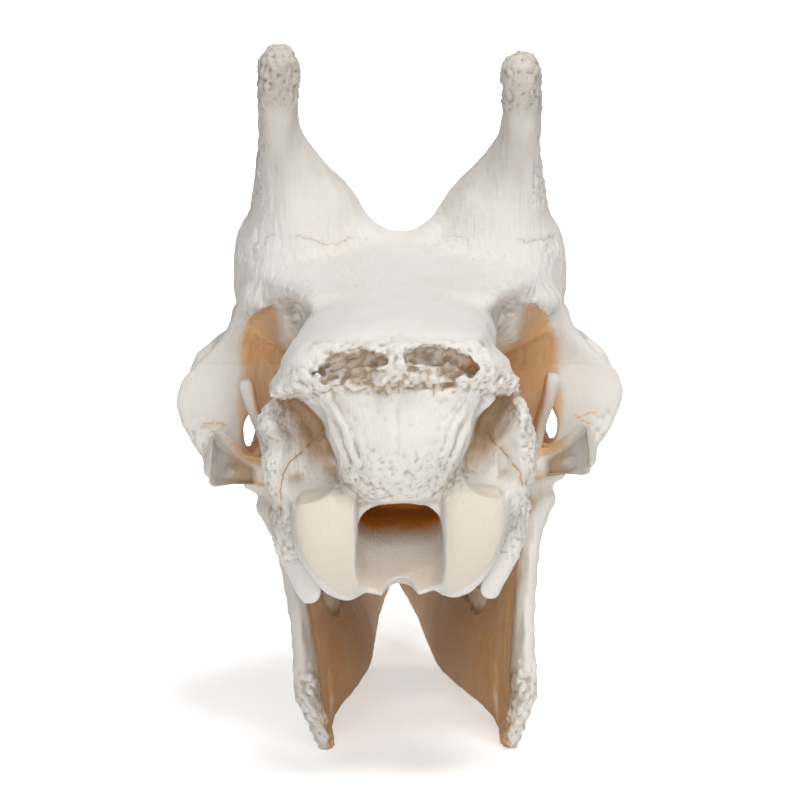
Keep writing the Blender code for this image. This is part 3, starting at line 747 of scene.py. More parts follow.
nape = {
    # height and half-width of the raised column down the middle
    "column": [(146, 19), (152, 20.5), (158, 24), (168, 30.5), (180, 36.8), (193, 40.5), (206, 50)],
    "columnRise": 8.5,
    "trench": 19,  # depth of the hollow along the column's flank, as are the next three for their own hollows
    "pocket": 3,
    "shelf": 3,
    "plate": 7.5,
    # height and outer edge of a condyle, then its inner edge and its top
    "condyle": [
        (99, 16),
        (103, 25),
        (108, 33),
        (113, 39.5),
        (120, 46.5),
        (130, 52.5),
        (140, 55),
        (150, 54.5),
        (156, 51),
    ],
    "condyleInner": 23.2,
    "condyleTop": 157.5,
    "condyleRise": 2.2,
    # height and half-width of the outline above the cheekbones
    "browOutline": [
        (197, 133),
        (208, 129.5),
        (217, 122.5),
        (228, 109),
        (232, 102),
        (238, 99.5),
        (262, 98.5),
        (276, 98),
    ],
    # side and height along the rim over a temporal hollow, outermost first
    "templeRim": [(95, 221), (93, 232), (85, 242), (75, 249.5), (66, 250), (59, 243), (55.5, 233)],
    # the back of the jaw joint: side, middle height and half the height of the plate
    "plateSides": (81, 91, 100, 106),
    "plateMiddles": (154, 156.5, 159.5, 161),
    "plateHalves": (5, 7.5, 12, 15),
}


def condyleShape(points, soft):
    # 1 inside the outline of a condyle as it is seen from behind
    side, z = np.abs(points[:, 0]), points[:, 2]
    heights, edges = np.array(nape["condyle"], float).T
    outer = np.interp(z, heights, edges)
    inner = nape["condyleInner"] - 0.05 * np.maximum(130 - z, 0)
    shape = fade(side, inner - soft, inner + soft) * fade(side, outer + soft, outer - soft)
    corner = nape["condyleTop"] - 0.009 * (side - 38) ** 2
    return shape * fade(z, corner + soft, corner - soft) * fade(z, 98, 102) * fade(points[:, 1], 34, 26)


def columnWidth(z):
    return np.interp(z, *np.array(nape["column"], float).T)


def shapeNape(form):
    # broad relief first: the column stands out, its flanks drop into trenches, the condyles have crisp edges
    points, normals = readPoints(form)
    x, y, z = points.T
    side = np.abs(x)
    behind = fade(y, 56, 44) * fade(-normals[:, 1], -0.35, 0.1)
    past = side - columnWidth(z) - 1.2 * softNoise(points, 8, 201) - 1.8 * softNoise(points, 19, 202)
    share = np.clip(1 + past / columnWidth(z), 0, 1)
    rise = (1 - share**2.6) * (fade(z, 146, 168) - 0.55 * fade(z, 184, 210))
    rise = rise * (1 - fade(z, 208, 213)) * behind
    deep = fade(z, 158, 190) * (1 - fade(z, 204, 209))
    trench = fade(past, -2.5, 4.0) * (1 - fade(past, 5, 26)) * (0.3 + 0.7 * deep)
    trench = trench * within(z, 160, 207, 4) * behind
    pocket = np.exp(-(((side - 54) / 5.0) ** 2) - ((z - 164) / 4.5) ** 2) * behind
    shelf = np.exp(-(((past - 5) / 4.5) ** 2)) * within(z, 152, 170, 5) * behind
    raised = condyleShape(points, 1.1) * fade(-normals[:, 1] - 0.5 * normals[:, 2], -0.2, 0.2)
    points[:, 1] -= nape["columnRise"] * rise + nape["condyleRise"] * raised
    points[:, 1] += nape["trench"] * trench + nape["pocket"] * pocket + nape["shelf"] * shelf

    lower = within(z, 188, 206, 6) * within(y, 8, 54, 6) * fade(-x, 38, 58)
    crestEnd = 0.09 * within(z, 207, 250, 3) + 0.07 * within(z, 227, 240, 4)
    crestEnd = crestEnd * fade(y, 76, 56) * fade(x, 30, 60)
    points[:, 0] *= 1 + 0.1 * lower - crestEnd
    heights, widths = np.array(nape["browOutline"], float).T
    over = np.maximum(side - np.interp(z, heights, widths), 0) * within(z, 200, 274, 3) * (y > 120)
    points[:, 0] -= np.sign(x) * 0.9 * over

    # the back of the jaw joint: a dished triangular plate below a sharp ridge
    middle = np.interp(side, nape["plateSides"], nape["plateMiddles"])
    half = np.interp(side, nape["plateSides"], nape["plateHalves"])
    dish = fade(1 - ((z - middle) / half) ** 2, 0, 0.7) * within(side, 83, 114, 2) * within(y, 100, 160, 5)
    dish *= 1 - 0.6 * (1 - fade(nearSpot(np.stack([side, z], axis=1), (97, 156), (6, 5)), 0.2, 1))
    points[:, 1] += nape["plate"] * dish * fade(-normals[:, 1], 0.1, 0.5)
    movePoints(form, points)


def brinkMask(points, width):
    # the rim over each temporal hollow
    x, y, z = points.T
    fromBehind = np.stack([np.abs(x), z], axis=1)
    return np.exp(-((nearLine(fromBehind, nape["templeRim"]) / width) ** 2)) * within(y, 92, 158, 6)


def sculptRear(points, normals, push):
    # how far the points of the nape and crest move along their normals, and how far straight forward
    x, y, z = points.T
    side = np.abs(x)
    toBack = fade(-normals[:, 1], 0.0, 0.5)
    rough = softNoise(points, 9, 11, 3)
    fine = softNoise(points, 3.2, 12, 2)
    near = grainNoise(points, 4.5, 7)
    small = grainNoise(points, 2.7, 8)

    # broken crest: two ragged hollows either side of a lumpy partition, and a torn lip below
    warp = np.stack([softNoise(points, 9, 61), softNoise(points, 9, 62), softNoise(points, 9, 63)], axis=1)
    warped = points + 2.5 * warp
    crag = 0.6 * softNoise(warped, 12, 64) + 0.7 * softNoise(warped, 6, 65, 2) + 1.1 * (0.5 - near)
    tear = 1.6 * softNoise(points, 7, 69) + 1.2 * softNoise(points, 3, 70)
    top = 233 - 0.0052 * x**2 + tear
    floor = 212 + 0.0032 * x**2 + 1.5 * tear + 1.2 * rough
    middle = np.abs(x + 2 + 2.6 * rough + tear)
    broken = within(z, floor, top, 0.8) * within(x + 2 + 2 * tear, -40, 43, 1.6)
    broken = broken * fade(middle, 2.6, 5.6) * fade(y, 36, 28)
    forward = broken * toBack * (0.8 - 2.8 * crag)
    torn = within(z, 209, 236, 2) * within(side, -1, 46, 3) * fade(y, 26, 16)
    torn = torn * fade(np.abs(normals[:, 2]), 0.2, 0.7)
    push += torn * (0.9 * tear + 0.4 * fine)
    partition = fade(middle, 6.0, 2.0) * within(z, 211, 241, 2.5) * fade(y, 34, 26) * toBack
    forward -= partition * (1.6 * crag + 0.8 * rough)
    lip = np.exp(-(((z - (floor - 2.2)) / 2.4) ** 2)) * within(side, 0, 60, 6) * fade(y, 36, 26) * toBack
    forward -= lip * (0.6 + 1.4 * crag)
    folds = softNoise(np.stack([(side + z) / 9, y / 6, (z - 0.9 * side) / 3.4], axis=1) * 3, 3, 66, 2)
    ragged = within(z, 204, top + 1, 2.5) * within(side, 42, 70, 4) * fade(y, 46, 34)
    push += ragged * (1.9 * folds + 0.8 * crag)

    # muscle scars: granular above the foramen, drawn-out ridges down the sides of the column
    scar = within(side, 0, 36, 6) * within(z, 150, 176, 7) * toBack * fade(y, 44, 30)
    push += scar * (1.9 * (0.55 - near) + 0.9 * (0.55 - small) + 0.5 * fine + 0.6 * rough)
    past = side - columnWidth(z)
    draped = softNoise(np.stack([past / 3.2, y / 20, z / 22], axis=1) * 3, 3, 31, 2)
    flank = within(past, -19, 5, 5) * within(z, 160, 211, 6) * toBack
    push += 2.1 * flank * draped * (0.7 + 0.5 * softNoise(points, 12, 203))
    push -= 0.9 * np.exp(-(((x + 1) / 2.2) ** 2)) * within(z, 178, 206, 8) * toBack
    push += 0.35 * within(side, 0, 34, 6) * within(z, 170, 212, 8) * toBack * fine
    grooves = stretched(points, (2.0, 6.0, 14.0), 67, 2)
    push += 0.4 * within(side, 44, 76, 4) * within(z, 164, 206, 5) * toBack * grooves

    # knobbly edge of the nape plate
    reach = np.hypot(x / 71, (z - 168) / 68)
    edge = within(reach, 0.9, 1.2, 0.04) * within(z, 116, 210, 8) * within(y, 8, 50, 5) * fade(side, 44, 56)
    push += edge * (1.5 * (0.6 - near) + 2.4 * (0.6 - small) + 0.35 * rough)
    return push, forward


def sculptHorn(points, normals, push):
    # granular tip and outer edge, faint lines along the shaft, a scar outside its foot
    side, z = np.abs(points[:, 0]), points[:, 2]
    near = grainNoise(points, 3.4, 17)
    tip = fade(z, 352, 366)
    outer = fade(side, 74, 79) * within(z, 300, 366, 14)
    push += tip * (1.0 * (0.58 - near) + 0.3 * softNoise(points, 6, 18, 2) + 0.7 * softNoise(points, 2.6, 24))
    push += outer * (0.9 * (0.6 - near) + 0.5 * softNoise(points, 5, 19, 2))
    push += 0.22 * stretched(points, (1.6, 3.0, 14.0), 23, 2) * (1 - tip)
    foot = within(z, 270, 291, 3) * fade(side, 74, 82) * fade(-normals[:, 1], -0.3, 0.3)
    push += foot * (0.9 * (0.6 - near) + 0.5 * softNoise(points, 5, 20, 2))
    return push


def sculptSkull(form):
    shapeNape(form)
    points, normals = readPoints(form)
    x, y, z = points.T
    side = np.abs(x)
    push = 0.45 * softNoise(points, 26, 3, 2) + 0.2 * softNoise(points, 7, 5, 2)
    rear = np.flatnonzero(y < 130)
    push[rear], forward = sculptRear(points[rear], normals[rear], push[rear])

    # rough muscle scar low on the postorbital wing
    wingScar = within(side, 110, 128, 4) * within(z, 164, 183, 4) * fade(-normals[:, 1], 0.0, 0.4)
    lumps = softNoise(points, 3.4, 67)
    push += wingScar * (0.7 * lumps + 0.6 * softNoise(points, 7, 76))

    # crisp granular rim over each temporal hollow
    rim = brinkMask(points, 2.6) * fade(-normals[:, 1], -0.3, 0.3)
    grains = np.zeros(len(points))
    onRim = np.flatnonzero(rim > 0.02)
    grains[onRim] = 0.55 - grainNoise(points[onRim], 3.2, 9)
    push += rim * (0.9 + 0.7 * lumps + 1.3 * grains)

    # seams, opened by drying
    gap, opened = crackField(points, normals)
    push -= seams["depth"] * np.exp(-((gap / seams["width"]) ** 2)) * opened

    horn = np.flatnonzero((z > 262) & (side > 12))
    push[horn] = sculptHorn(points[horn], normals[horn], push[horn])

    # long fine ridges on the walls of the temporal hollows
    wall = np.flatnonzero((side < 100) & (side > 36) & (y > 60) & (y < 215) & (z > 160) & (z < 262))
    drawn = stretched(points[wall], (3.0, 2.2, 18.0), 41, 2)
    push[wall] += 0.5 * drawn * within(side[wall], 44, 96, 4)

    # the bearing surfaces of the condyles stay smooth
    push *= 1 - 0.92 * jointMask(points, normals)
    points += normals * push[:, None]
    points[rear, 1] += forward
    movePoints(form, points)
    report("sculpted the skull")


def jointMask(points, normals):
    # the smooth bearing surface of the occipital condyles
    return condyleShape(points, 1.3) * fade(np.sign(points[:, 0]) * normals[:, 0], -0.85, -0.6)


# Where the bone is stained, and where shade is painted on it, written on the points for the materials to read

def storeLayer(form, name, values):
    layer = form.data.attributes.new(name, "FLOAT", "POINT")
    layer.data.foreach_set("value", np.clip(values, 0, 1).astype(np.float32))


def readLayer(form, name):
    values = np.empty(len(form.data.vertices), np.float32)
    form.data.attributes[name].data.foreach_get("value", values)
    return values


layerNames = ("warm", "stain", "crack", "open", "pit", "deep", "joint", "rough", "grey")


stains = {
    "eye": (104, 216, 190),  # middle of the right eye socket
    "eyeReach": 37,
    # middle, radii, where the spot begins to fade as a share of them, strength
    "spots": [
        ((37, 20, 223.5), (6.5, 11, 5), 0.5, 1.0),
        ((23, 20, 227.5), (5, 11, 3.5), 0.4, 0.8),
        ((-68, 28, 213), (4, 10, 3), 0.4, 0.7),
    ],
    # ends as seen from behind
    "scratches": [[(103, 178.5), (108, 180)], [(110, 180.5), (115, 181)], [(106, 174), (111, 175)]],
}


def floorMask(points, normals):
    # the floor of the foramen, between the condyles
    side, z = np.abs(points[:, 0]), points[:, 2]
    return within(side, -26, 26, 2) * within(z, 96, 136, 4) * fade(normals[:, 2], 0.2, 0.6)


def caveMask(points):
    # the walls of the torn hollows behind the crest
    x, y, z = points.T
    cave = within(z, 212, 236, 2) * within(np.abs(x), 0, 46, 3)
    return cave * fade(y + 5 - 0.0044 * x**2, 3, 9) * fade(y, 30, 24)


def fossaMask(points):
    # the deep hollows either side of the column
    x, y, z = points.T
    past = np.abs(x) - columnWidth(z)
    return within(past, -1, 15, 4) * within(z, 172, 209, 7) * fade(y, 24, 34) * (1 - fade(y, 56, 66))


def templeMask(points, normals):
    # the walls of the temporal hollows, up to the rim over them
    x, y, z = points.T
    side = np.abs(x)
    edge = np.interp(z, (195, 226, 240), (94, 92, 86)) + 2.5 * softNoise(points, 16, 52, 2)
    temple = fade(side, 34, 42) * fade(side, edge + 3.5, edge - 3.5) * within(y, 112, 250, 14)
    temple *= within(z, 132, 251, 4)
    temple *= 1 - fade(np.sign(x) * normals[:, 0], 0.35, 0.75) * fade(side, 96, 108)
    temple *= 1 - fade(normals[:, 2], 0.3, 0.7) * fade(z, 255, 266)
    rimTop = np.interp(side, *np.array(nape["templeRim"][::-1], float).T)
    temple *= 1 - fade(z - rimTop, -2.5, 1.5) * fade(y, 158, 148)
    medial = fade(side + 2 * softNoise(points, 12, 80), 76, 64) * fade(z, 200, 222)
    return 1.05 * temple * fade(y, 102 + 24 * medial, 130 + 56 * medial)


def eyeMask(points, normals):
    # the inner wall of an eye socket, found by its distance from the socket's middle
    x, y, z = points.T
    across, forward, up = stains["eye"]
    toEye = np.stack([np.sign(x) * across - x, forward - y, up - z], axis=1) / stains["eyeReach"]
    reach = np.linalg.norm(toEye, axis=1)
    facing = (toEye * normals).sum(axis=1) / np.maximum(reach, 0.1)
    return (1 - fade(reach, 0.9, 1.05)) * fade(facing, 0.0, 0.5)


def warmth(points, normals):
    # tan where flesh lay: temporal hollows, eye sockets, braincase, nose, nape and underside
    x, y, z = points.T
    side = np.abs(x)
    patch = softNoise(points, 22, 51, 2)
    inside = within(side, -30, 30, 2) * within(y, 40, 180, 6) * within(z, 108, 212, 4)
    behindJoint = within(side, 34, 92, 6) * within(y, 44, 130, 8) * within(z, 96, 178, 6)
    behindJoint *= fade(-normals[:, 2], -0.2, 0.6)
    under = fade(-normals[:, 2], 0.2, 0.8) * within(z, 80, 150, 8) * fade(y, 150, 200)
    nasal = within(side, -30, 26, 2) * within(z, 95, 190, 5) * within(y, 290, 480, 20)
    nasal *= fade(-np.sign(x) * normals[:, 0], -0.3, 0.4)
    warm = templeMask(points, normals) + 0.5 * eyeMask(points, normals)
    warm += 0.5 * inside * fade(y, 30, 60) + 0.5 * behindJoint + 0.5 * under + 0.55 * nasal
    warm *= 0.92 + 0.14 * patch
    fossa = (0.75 + 0.2 * patch) * fossaMask(points) * fade(-normals[:, 1], -0.5, 0.1)
    ramp = 0.25 * floorMask(points, normals) * fade(y, 60, 20)
    warm = np.maximum.reduce([warm, fossa, ramp, (0.3 + 0.2 * patch) * caveMask(points)])

    # thin scratches low on the wing behind each eye socket
    crooked = np.stack([side, z + 1.2 * softNoise(points, 5, 77)], axis=1)
    ahead = fade(-normals[:, 1], 0.0, 0.4) * (y > 140)
    for scratch in stains["scratches"]:
        warm = np.maximum(warm, 0.9 * fade(nearLine(crooked, scratch), 1.1, 0.5) * ahead)
    return warm


def grease(points, normals):
    # orange deep in the braincase and in three spots of the crest
    x, y, z = points.T
    canal = 1 - fade(np.hypot(x / 32, (z - 140 - 0.12 * y) / 34), 0.95, 1.1)
    canal *= (1 - fade(y, 140, 170)) * fade((150 + 0.12 * y - z) * normals[:, 2] - x * normals[:, 0], -2, 8)
    start = np.where(normals[:, 2] > -0.5, 52, 30) + 2.0 * softNoise(points, 7, 53, 2)
    spots = 0.0
    for centre, radii, low, strength in stains["spots"]:
        spots = np.maximum(spots, strength * (1 - fade(nearSpot(points, centre, radii), low, 1.1)))
    return canal * fade(y, start, start + 16) + 0.8 * spots


def granular(points, normals):
    # porous bone, where specks and grit show: torn crest, horn tips, scars, rims
    x, y, z = points.T
    side = np.abs(x)
    crest = within(z, 208, 237 - 0.0042 * x**2, 2) * within(side, -66, 66, 4) * fade(y, 40, 28)
    outer = within(side, 74, 90, 2) * within(z, 300, 366, 12) * fade(np.sign(x) * normals[:, 0], 0.1, 0.5)
    tips = fade(z, 350, 364) + outer
    scar = within(side, -42, 42, 6) * within(z, 150, 184, 5) * fade(y, 44, 34) * fade(-normals[:, 1], 0, 0.4)
    around = within(side, 42, 78, 5) * within(z, 112, 212, 8) * within(y, 8, 50, 5)
    return np.maximum.reduce([0.7 * crest, tips, 0.6 * scar, 0.4 * around, 0.7 * brinkMask(points, 4.0)])


def paintedShadeAndGreying(points, normals):
    # painted shade behind the jaw joints, on the temporal walls under the rims, in patches on the plates
    # beside the nape, in the hollows behind the crest and deep beside the column; grey weathering on horns
    # and rims
    x, y, z = points.T
    side = np.abs(x)
    plate = within(side, 82, 108, 3) * within(z, 140, 180, 4) * within(y, 100, 165, 5)
    plate *= fade(-normals[:, 1], 0.0, 0.5)
    wall = within(side, 40, 80, 5) * fade(z, 252, 246) * within(y, 70, 160, 8)
    wall *= fade(-np.sign(x) * normals[:, 0], -0.2, -0.6) * fade(z, 200, 215)
    disc = within(side, 44, 76, 5) * within(z, 130, 208, 5) * within(y, 8, 46, 4)
    disc *= fade(softNoise(points, 12, 78), -0.6, 0.8)
    shaft = fade(z, 290, 330) * (0.22 + 0.16 * softNoise(points / np.array((1, 1, 4)), 9, 79, 2))
    shaft += 0.22 * fade(z, 350, 364)
    brink = 0.5 * brinkMask(points, 4.0) * fade(softNoise(points, 3.2, 82), -0.9, 0.3)
    fossa = 0.5 * fossaMask(points) * fade(y, 28, 42)
    # plate, wall, disc, cave and fossa are painted shade; shaft and brink are grey weathering
    greys = [0.6 * plate, 0.3 * wall, 0.28 * disc, shaft, 0.4 * caveMask(points), brink, fossa]
    return np.maximum.reduce(greys)


def stainSkull(form):
    points, normals = readPoints(form)
    storeLayer(form, "warm", warmth(points, normals))
    storeLayer(form, "stain", grease(points, normals))
    gap, opened = crackField(points, normals)
    storeLayer(form, "crack", 0.5 + gap / 8)
    storeLayer(form, "open", opened)
    storeLayer(form, "rough", granular(points, normals))
    cartilage = condyleShape(points, 2.6) * fade(np.sign(points[:, 0]) * normals[:, 0], -0.9, -0.5)
    # painted shade in the broad hollows comes from the deep layer, kept faint on the foramen floor
    shaded = 1 - 0.8 * floorMask(points, normals) * fade(points[:, 1], 70, 50)
    # the pit layer carries dirt and painted shade in the small hollows
    storeLayer(form, "pit", 0.5 + hollowness(form, points, normals, 6) / 0.9 * (1 - 0.9 * cartilage))
    storeLayer(form, "deep", 0.5 + hollowness(form, points, normals, 45) / 7 * shaded)
    storeLayer(form, "joint", cartilage)
    storeLayer(form, "grey", paintedShadeAndGreying(points, normals))
    report("stained the skull")


# Lower jaw

jaw = {
    "ramus": [
        (1, 108, 58, 168, 54, 5.5),
        (20, 99, 61, 212, 50, 6.5),
        (50, 102, 61.5, 222, 48, 6.5),
        (72, 107, 62, 214, 54, 6),
        (90, 110, 63.5, 203, 59, 5.5),
        (110, 114, 66, 194, 63, 5.5),
        (130, 121, 72, 188, 69, 5),
    ],
    "border": [
        (54, 142, 3.5, 6, 6),
        (57.5, 114, 4.5, 7, 7.5),
        (60, 103, 24, 8, 7),
        (61.5, 106, 60, 7, 6),
        (65, 113, 92, 6.5, 6),
        (72, 124, 124, 7, 6.5),
        (79, 131, 138, 8, 6),
    ],
    "coronoid": [
        (69, 178, 118, 4.5, 15),
        (75, 172, 148, 4, 11),
        (81.5, 163, 178, 3.3, 8),
        (86, 155, 194, 3.8, 6.5),
        (88.3, 151, 205, 4.8, 5.5),
    ],
    "condyle": [
        (64, 132, 142, 5, 5),
        (74, 132, 145, 7.5, 6.5),
        (83, 133, 148.5, 6.5, 5.5),
        (89, 134, 149.5, 4, 4),
    ],
    "socketRoom": 0.5,  # how much wider than the condyle its socket is cut
    "body": [
        (150, -2, 60, 6, 8, 7, 52, 57),
        (175, 0, 64, 7, 10, 8, 50, 55),
        (200, 2, 62, 8, 12, 9, 46, 53),
        (232, 2, 62, 10, 12.5, 10, 40, 50),
        (288, -0.6, 57, 11, 12.5, 10, 33, 43),
        (330, -0.6, 52, 11, 12, 10, 28, 38),
        (380, 6, 49, 10.5, 11.5, 9, 24, 33),
        (405, 13, 47, 9.5, 11, 8, 21, 28),
        (437, 22, 48, 9, 10, 7, 15, 21),
        (465, 30, 52, 9, 12, 9, 12, 14),
        (500, 38, 57, 10, 13, 11, 12, 13),
        (545, 47, 64, 11, 14, 13, 13, 14),
        (580, 54, 68, 14, 17, 16, 15, 16),
        (596, 58, 69, 15, 17, 16, 16, 16),
    ],
    "chinHole": [(18, 440, 36, 2.6, 3.4), (26, 430, 38, 2.6, 3.4), (34, 418, 39, 3, 4)],
    "hookInward": 5,  # how far the end of each angle hooks, as is the next
    "hookBack": 7,
    "turn": 0.035,  # how the jaw lies turned a little about the upright
    "lean": 0.0437,  # and leans to one side, on both angles
    "broadSkin": (1.7, 7),  # voxel in millimetres and smoothing passes, as is the next
    "fineSkin": (1.2, 3),
}


def jawShear(form, s):
    points, _ = readPoints(form)
    across = points[:, 0].copy()
    points[:, 0] += s["turn"] * (400 - points[:, 1]) - s["lean"] * points[:, 2]
    points[:, 1] += s["turn"] * across
    movePoints(form, points)


def jawSkin(s):
    ramus = plateForm("ramus", s["ramus"], dome=0.2)
    parts = [
        tube("border", s["border"]),
        tube("coronoid", s["coronoid"], squareness=2.6, dome=0.4),
        longForm("body", s["body"], squareness=2.4),
        tube("jawCondyle", s["condyle"], across=(0, 1, 0)),
    ]
    combine(ramus, parts, "UNION")
    soften(ramus, *s["broadSkin"])
    combine(ramus, [tube("chinHole", s["chinHole"])], "DIFFERENCE")
    soften(ramus, *s["fineSkin"])
    return dropCrumbs(ramus)


def sculptJaw(form):
    points, normals = readPoints(form)
    x, y, z = points.T
    push = 0.3 * softNoise(points, 24, 71, 2) + 0.1 * softNoise(points, 6, 72, 2)
    fine = softNoise(points, 3.4, 73, 2)
    near = grainNoise(points, 4.6, 74)
    small = grainNoise(points, 2.8, 79)

    # the angle hooks inward and backward to a rounded end
    hook = fade(z, 38, 0) * fade(y, 150, 116)
    points[:, 0] -= hook * (jaw["hookInward"] + 0.35 * (x - 57))
    points[:, 1] -= jaw["hookBack"] * hook

    # knobbly scar round the angle, with drawn-out ridges on both faces in front of it
    angle = within(z, -5, 46, 6) * fade(y, 130, 114) * fade(-normals[:, 1], -0.1, 0.3)
    push += angle * (2.9 * (0.55 - near) + 1.1 * (0.55 - small) + 0.4 * fine)
    fan = np.stack([x / 3, (y - 120) / 14 + z / 60, (z - 0.35 * (y - 100)) / 3.2], axis=1)
    ridges = softNoise(fan * 3, 3, 75, 2)
    outerFan = within(z, 4, 84, 10) * within(y, 104, 178, 14) * fade(normals[:, 0], 0.2, 0.7)
    innerFan = within(z, 6, 92, 10) * within(y, 102, 190, 14) * fade(-normals[:, 0], 0.2, 0.7)
    push += 0.8 * outerFan * ridges + 0.35 * innerFan * ridges

    # faint lengthwise lines up the ramus and along the body
    drawn = stretched(points, (2.4, 4.0, 20.0), 76, 2)
    push += 0.3 * drawn * within(z, 40, 200, 12) * (1 - fade(y, 190, 215))
    along = stretched(points, (3.0, 22.0, 3.0), 77, 2)
    push += 0.22 * along * fade(y, 190, 230)

    # roots swell the outer wall below the cheek teeth
    swell = 0.0
    for tooth in lowerTeeth["row"]:
        swell = np.maximum(swell, np.exp(-(((y - tooth[0]) / (tooth[2] * 0.36)) ** 2)))
    belowRow = within(z, 28, 54, 7) * within(y, 215, 365, 6)
    push += 0.9 * (swell - 0.5) * belowRow * fade(np.abs(normals[:, 0]), 0.3, 0.7)

    # porous front end around the incisors
    push += 0.35 * fine * fade(y, 560, 585)
    roller = jawJoint(points, normals)
    points += normals * (push * (1 - 0.9 * roller))[:, None]
    movePoints(form, points)


def jawJoint(points, normals):
    # the smooth bearing surface on top of a jaw condyle
    x, y, z = points.T
    return fade(z, 141, 146) * within(y, 122, 146, 2) * within(x, 62, 96, 2) * fade(normals[:, 2], 0.0, 0.4)


def stainJaw(form):
    points, normals = readPoints(form)
    y, z = points[:, 1], points[:, 2]
    inner = fade(-normals[:, 0] + 0.25 * normals[:, 1], 0.0, 0.55)
    streak = stretched(points, (6.0, 7.0, 34.0), 81, 2)
    patch = softNoise(points, 24, 82, 2)
    back = fade(y, 380, 120)
    warm = inner * (0.68 + 0.3 * back + 0.08 * streak + 0.08 * patch)
    warm *= 1 - 0.75 * fade(-normals[:, 1], 0.45, 0.8)
    warm += 0.35 * within(z, 46, 66, 4) * within(y, 200, 372, 6) * (0.7 + 0.3 * patch)
    warm += 0.4 * fade(normals[:, 1], 0.3, 0.8) * fade(y, 250, 215) * fade(z, 60, 90)
    storeLayer(form, "warm", warm)
    # painted shade: a streaked grey-brown band on the inner face along the back border of the ramus
    band = fade(-normals[:, 0] - 0.15 * normals[:, 1], -0.05, 0.3)
    band *= within(y, 90, 117, 5) * within(z, 20, 200, 14)
    storeLayer(form, "grey", band * (0.45 + 0.35 * fade(streak, -0.4, 0.5)))
    angle = within(z, -5, 46, 5) * fade(y, 130, 114) * fade(-normals[:, 1], 0.0, 0.4)
    storeLayer(form, "rough", 0.8 * angle)
    # the pit layer carries dirt and painted shade in the small hollows
    storeLayer(form, "pit", 0.5 + hollowness(form, points, normals, 6) / 0.9)
    # painted shade in the broad hollows of the jaw
    storeLayer(form, "deep", 0.5 + hollowness(form, points, normals, 45) / 7)
    storeLayer(form, "joint", jawJoint(points, normals))


def jawHalf(side, word):
    half = jawSkin(jaw)
    sculptJaw(half)
    stainJaw(half)
    if side < 0:
        flip(half)
    middle = prism("middle", [(-90, 100), (0.1, 100), (0.1, 700), (-90, 700)], -20, 120)
    if side < 0:
        flip(middle)
    cutAway(half, middle, "DIFFERENCE")
    jawShear(half, jaw)
    uneven(half)
    ground = prism("ground", [(-200, -50), (200, -50), (200, 700), (-200, 700)], -30, 0)
    cutAway(half, ground, "DIFFERENCE")
    half.name = "lowerJaw" + word
    report(f"lower jaw {word.lower()}, {len(half.data.polygons)} faces")
    return half


# Teeth: cheek teeth as worn columns of two or three lobes, front teeth as spoons

upperTeeth = {
    # middle y and x, length along the row, width, number of lobes
    "row": [
        (232, 52, 30, 29, 2),
        (262, 51.5, 31, 30, 2),
        (291, 49.5, 28, 28, 2),
        (318, 46.5, 23, 26, 1),
        (341, 43, 23, 24, 1),
        (363, 39, 21, 20, 1),
    ],
    "crown": 73.5,
    "neck": 89,
    "root": 106,
    "voxel": 0.65,
}

lowerTeeth = {
    "row": [
        (229, 48.5, 38, 18, 3),
        (263, 46.5, 29, 19, 2),
        (291, 43.5, 27, 18, 2),
        (316, 40.5, 23, 17, 2),
        (337, 37.5, 19, 15, 1),
        (355, 35, 16, 13, 1),
    ],
    "crown": 72,
    "neck": 58,
    "root": 42,
    "voxel": 0.65,
}

frontTeeth = {
    # x and y of the crown, how far it turns outward, width; the last two make one split canine
    "crowns": [
        (5.2, 604, 0.05, 9.2),
        (14, 602.5, 0.2, 8.6),
        (22, 599, 0.4, 8),
        (28.5, 593, 0.62, 7.4),
        (33, 587, 0.8, 5.6),
    ],
    # place along the tooth, share of the width, thickness
    "outline": [
        (-18, 0.42, 2.4),
        (-9, 0.5, 2.8),
        (-2, 0.62, 2.9),
        (5, 0.92, 2.2),
        (10, 1.03, 1.5),
        (13.4, 0.96, 0.8),
    ],
    "height": 66,
    "rise": 0.42,
    "voxel": 0.5,
}


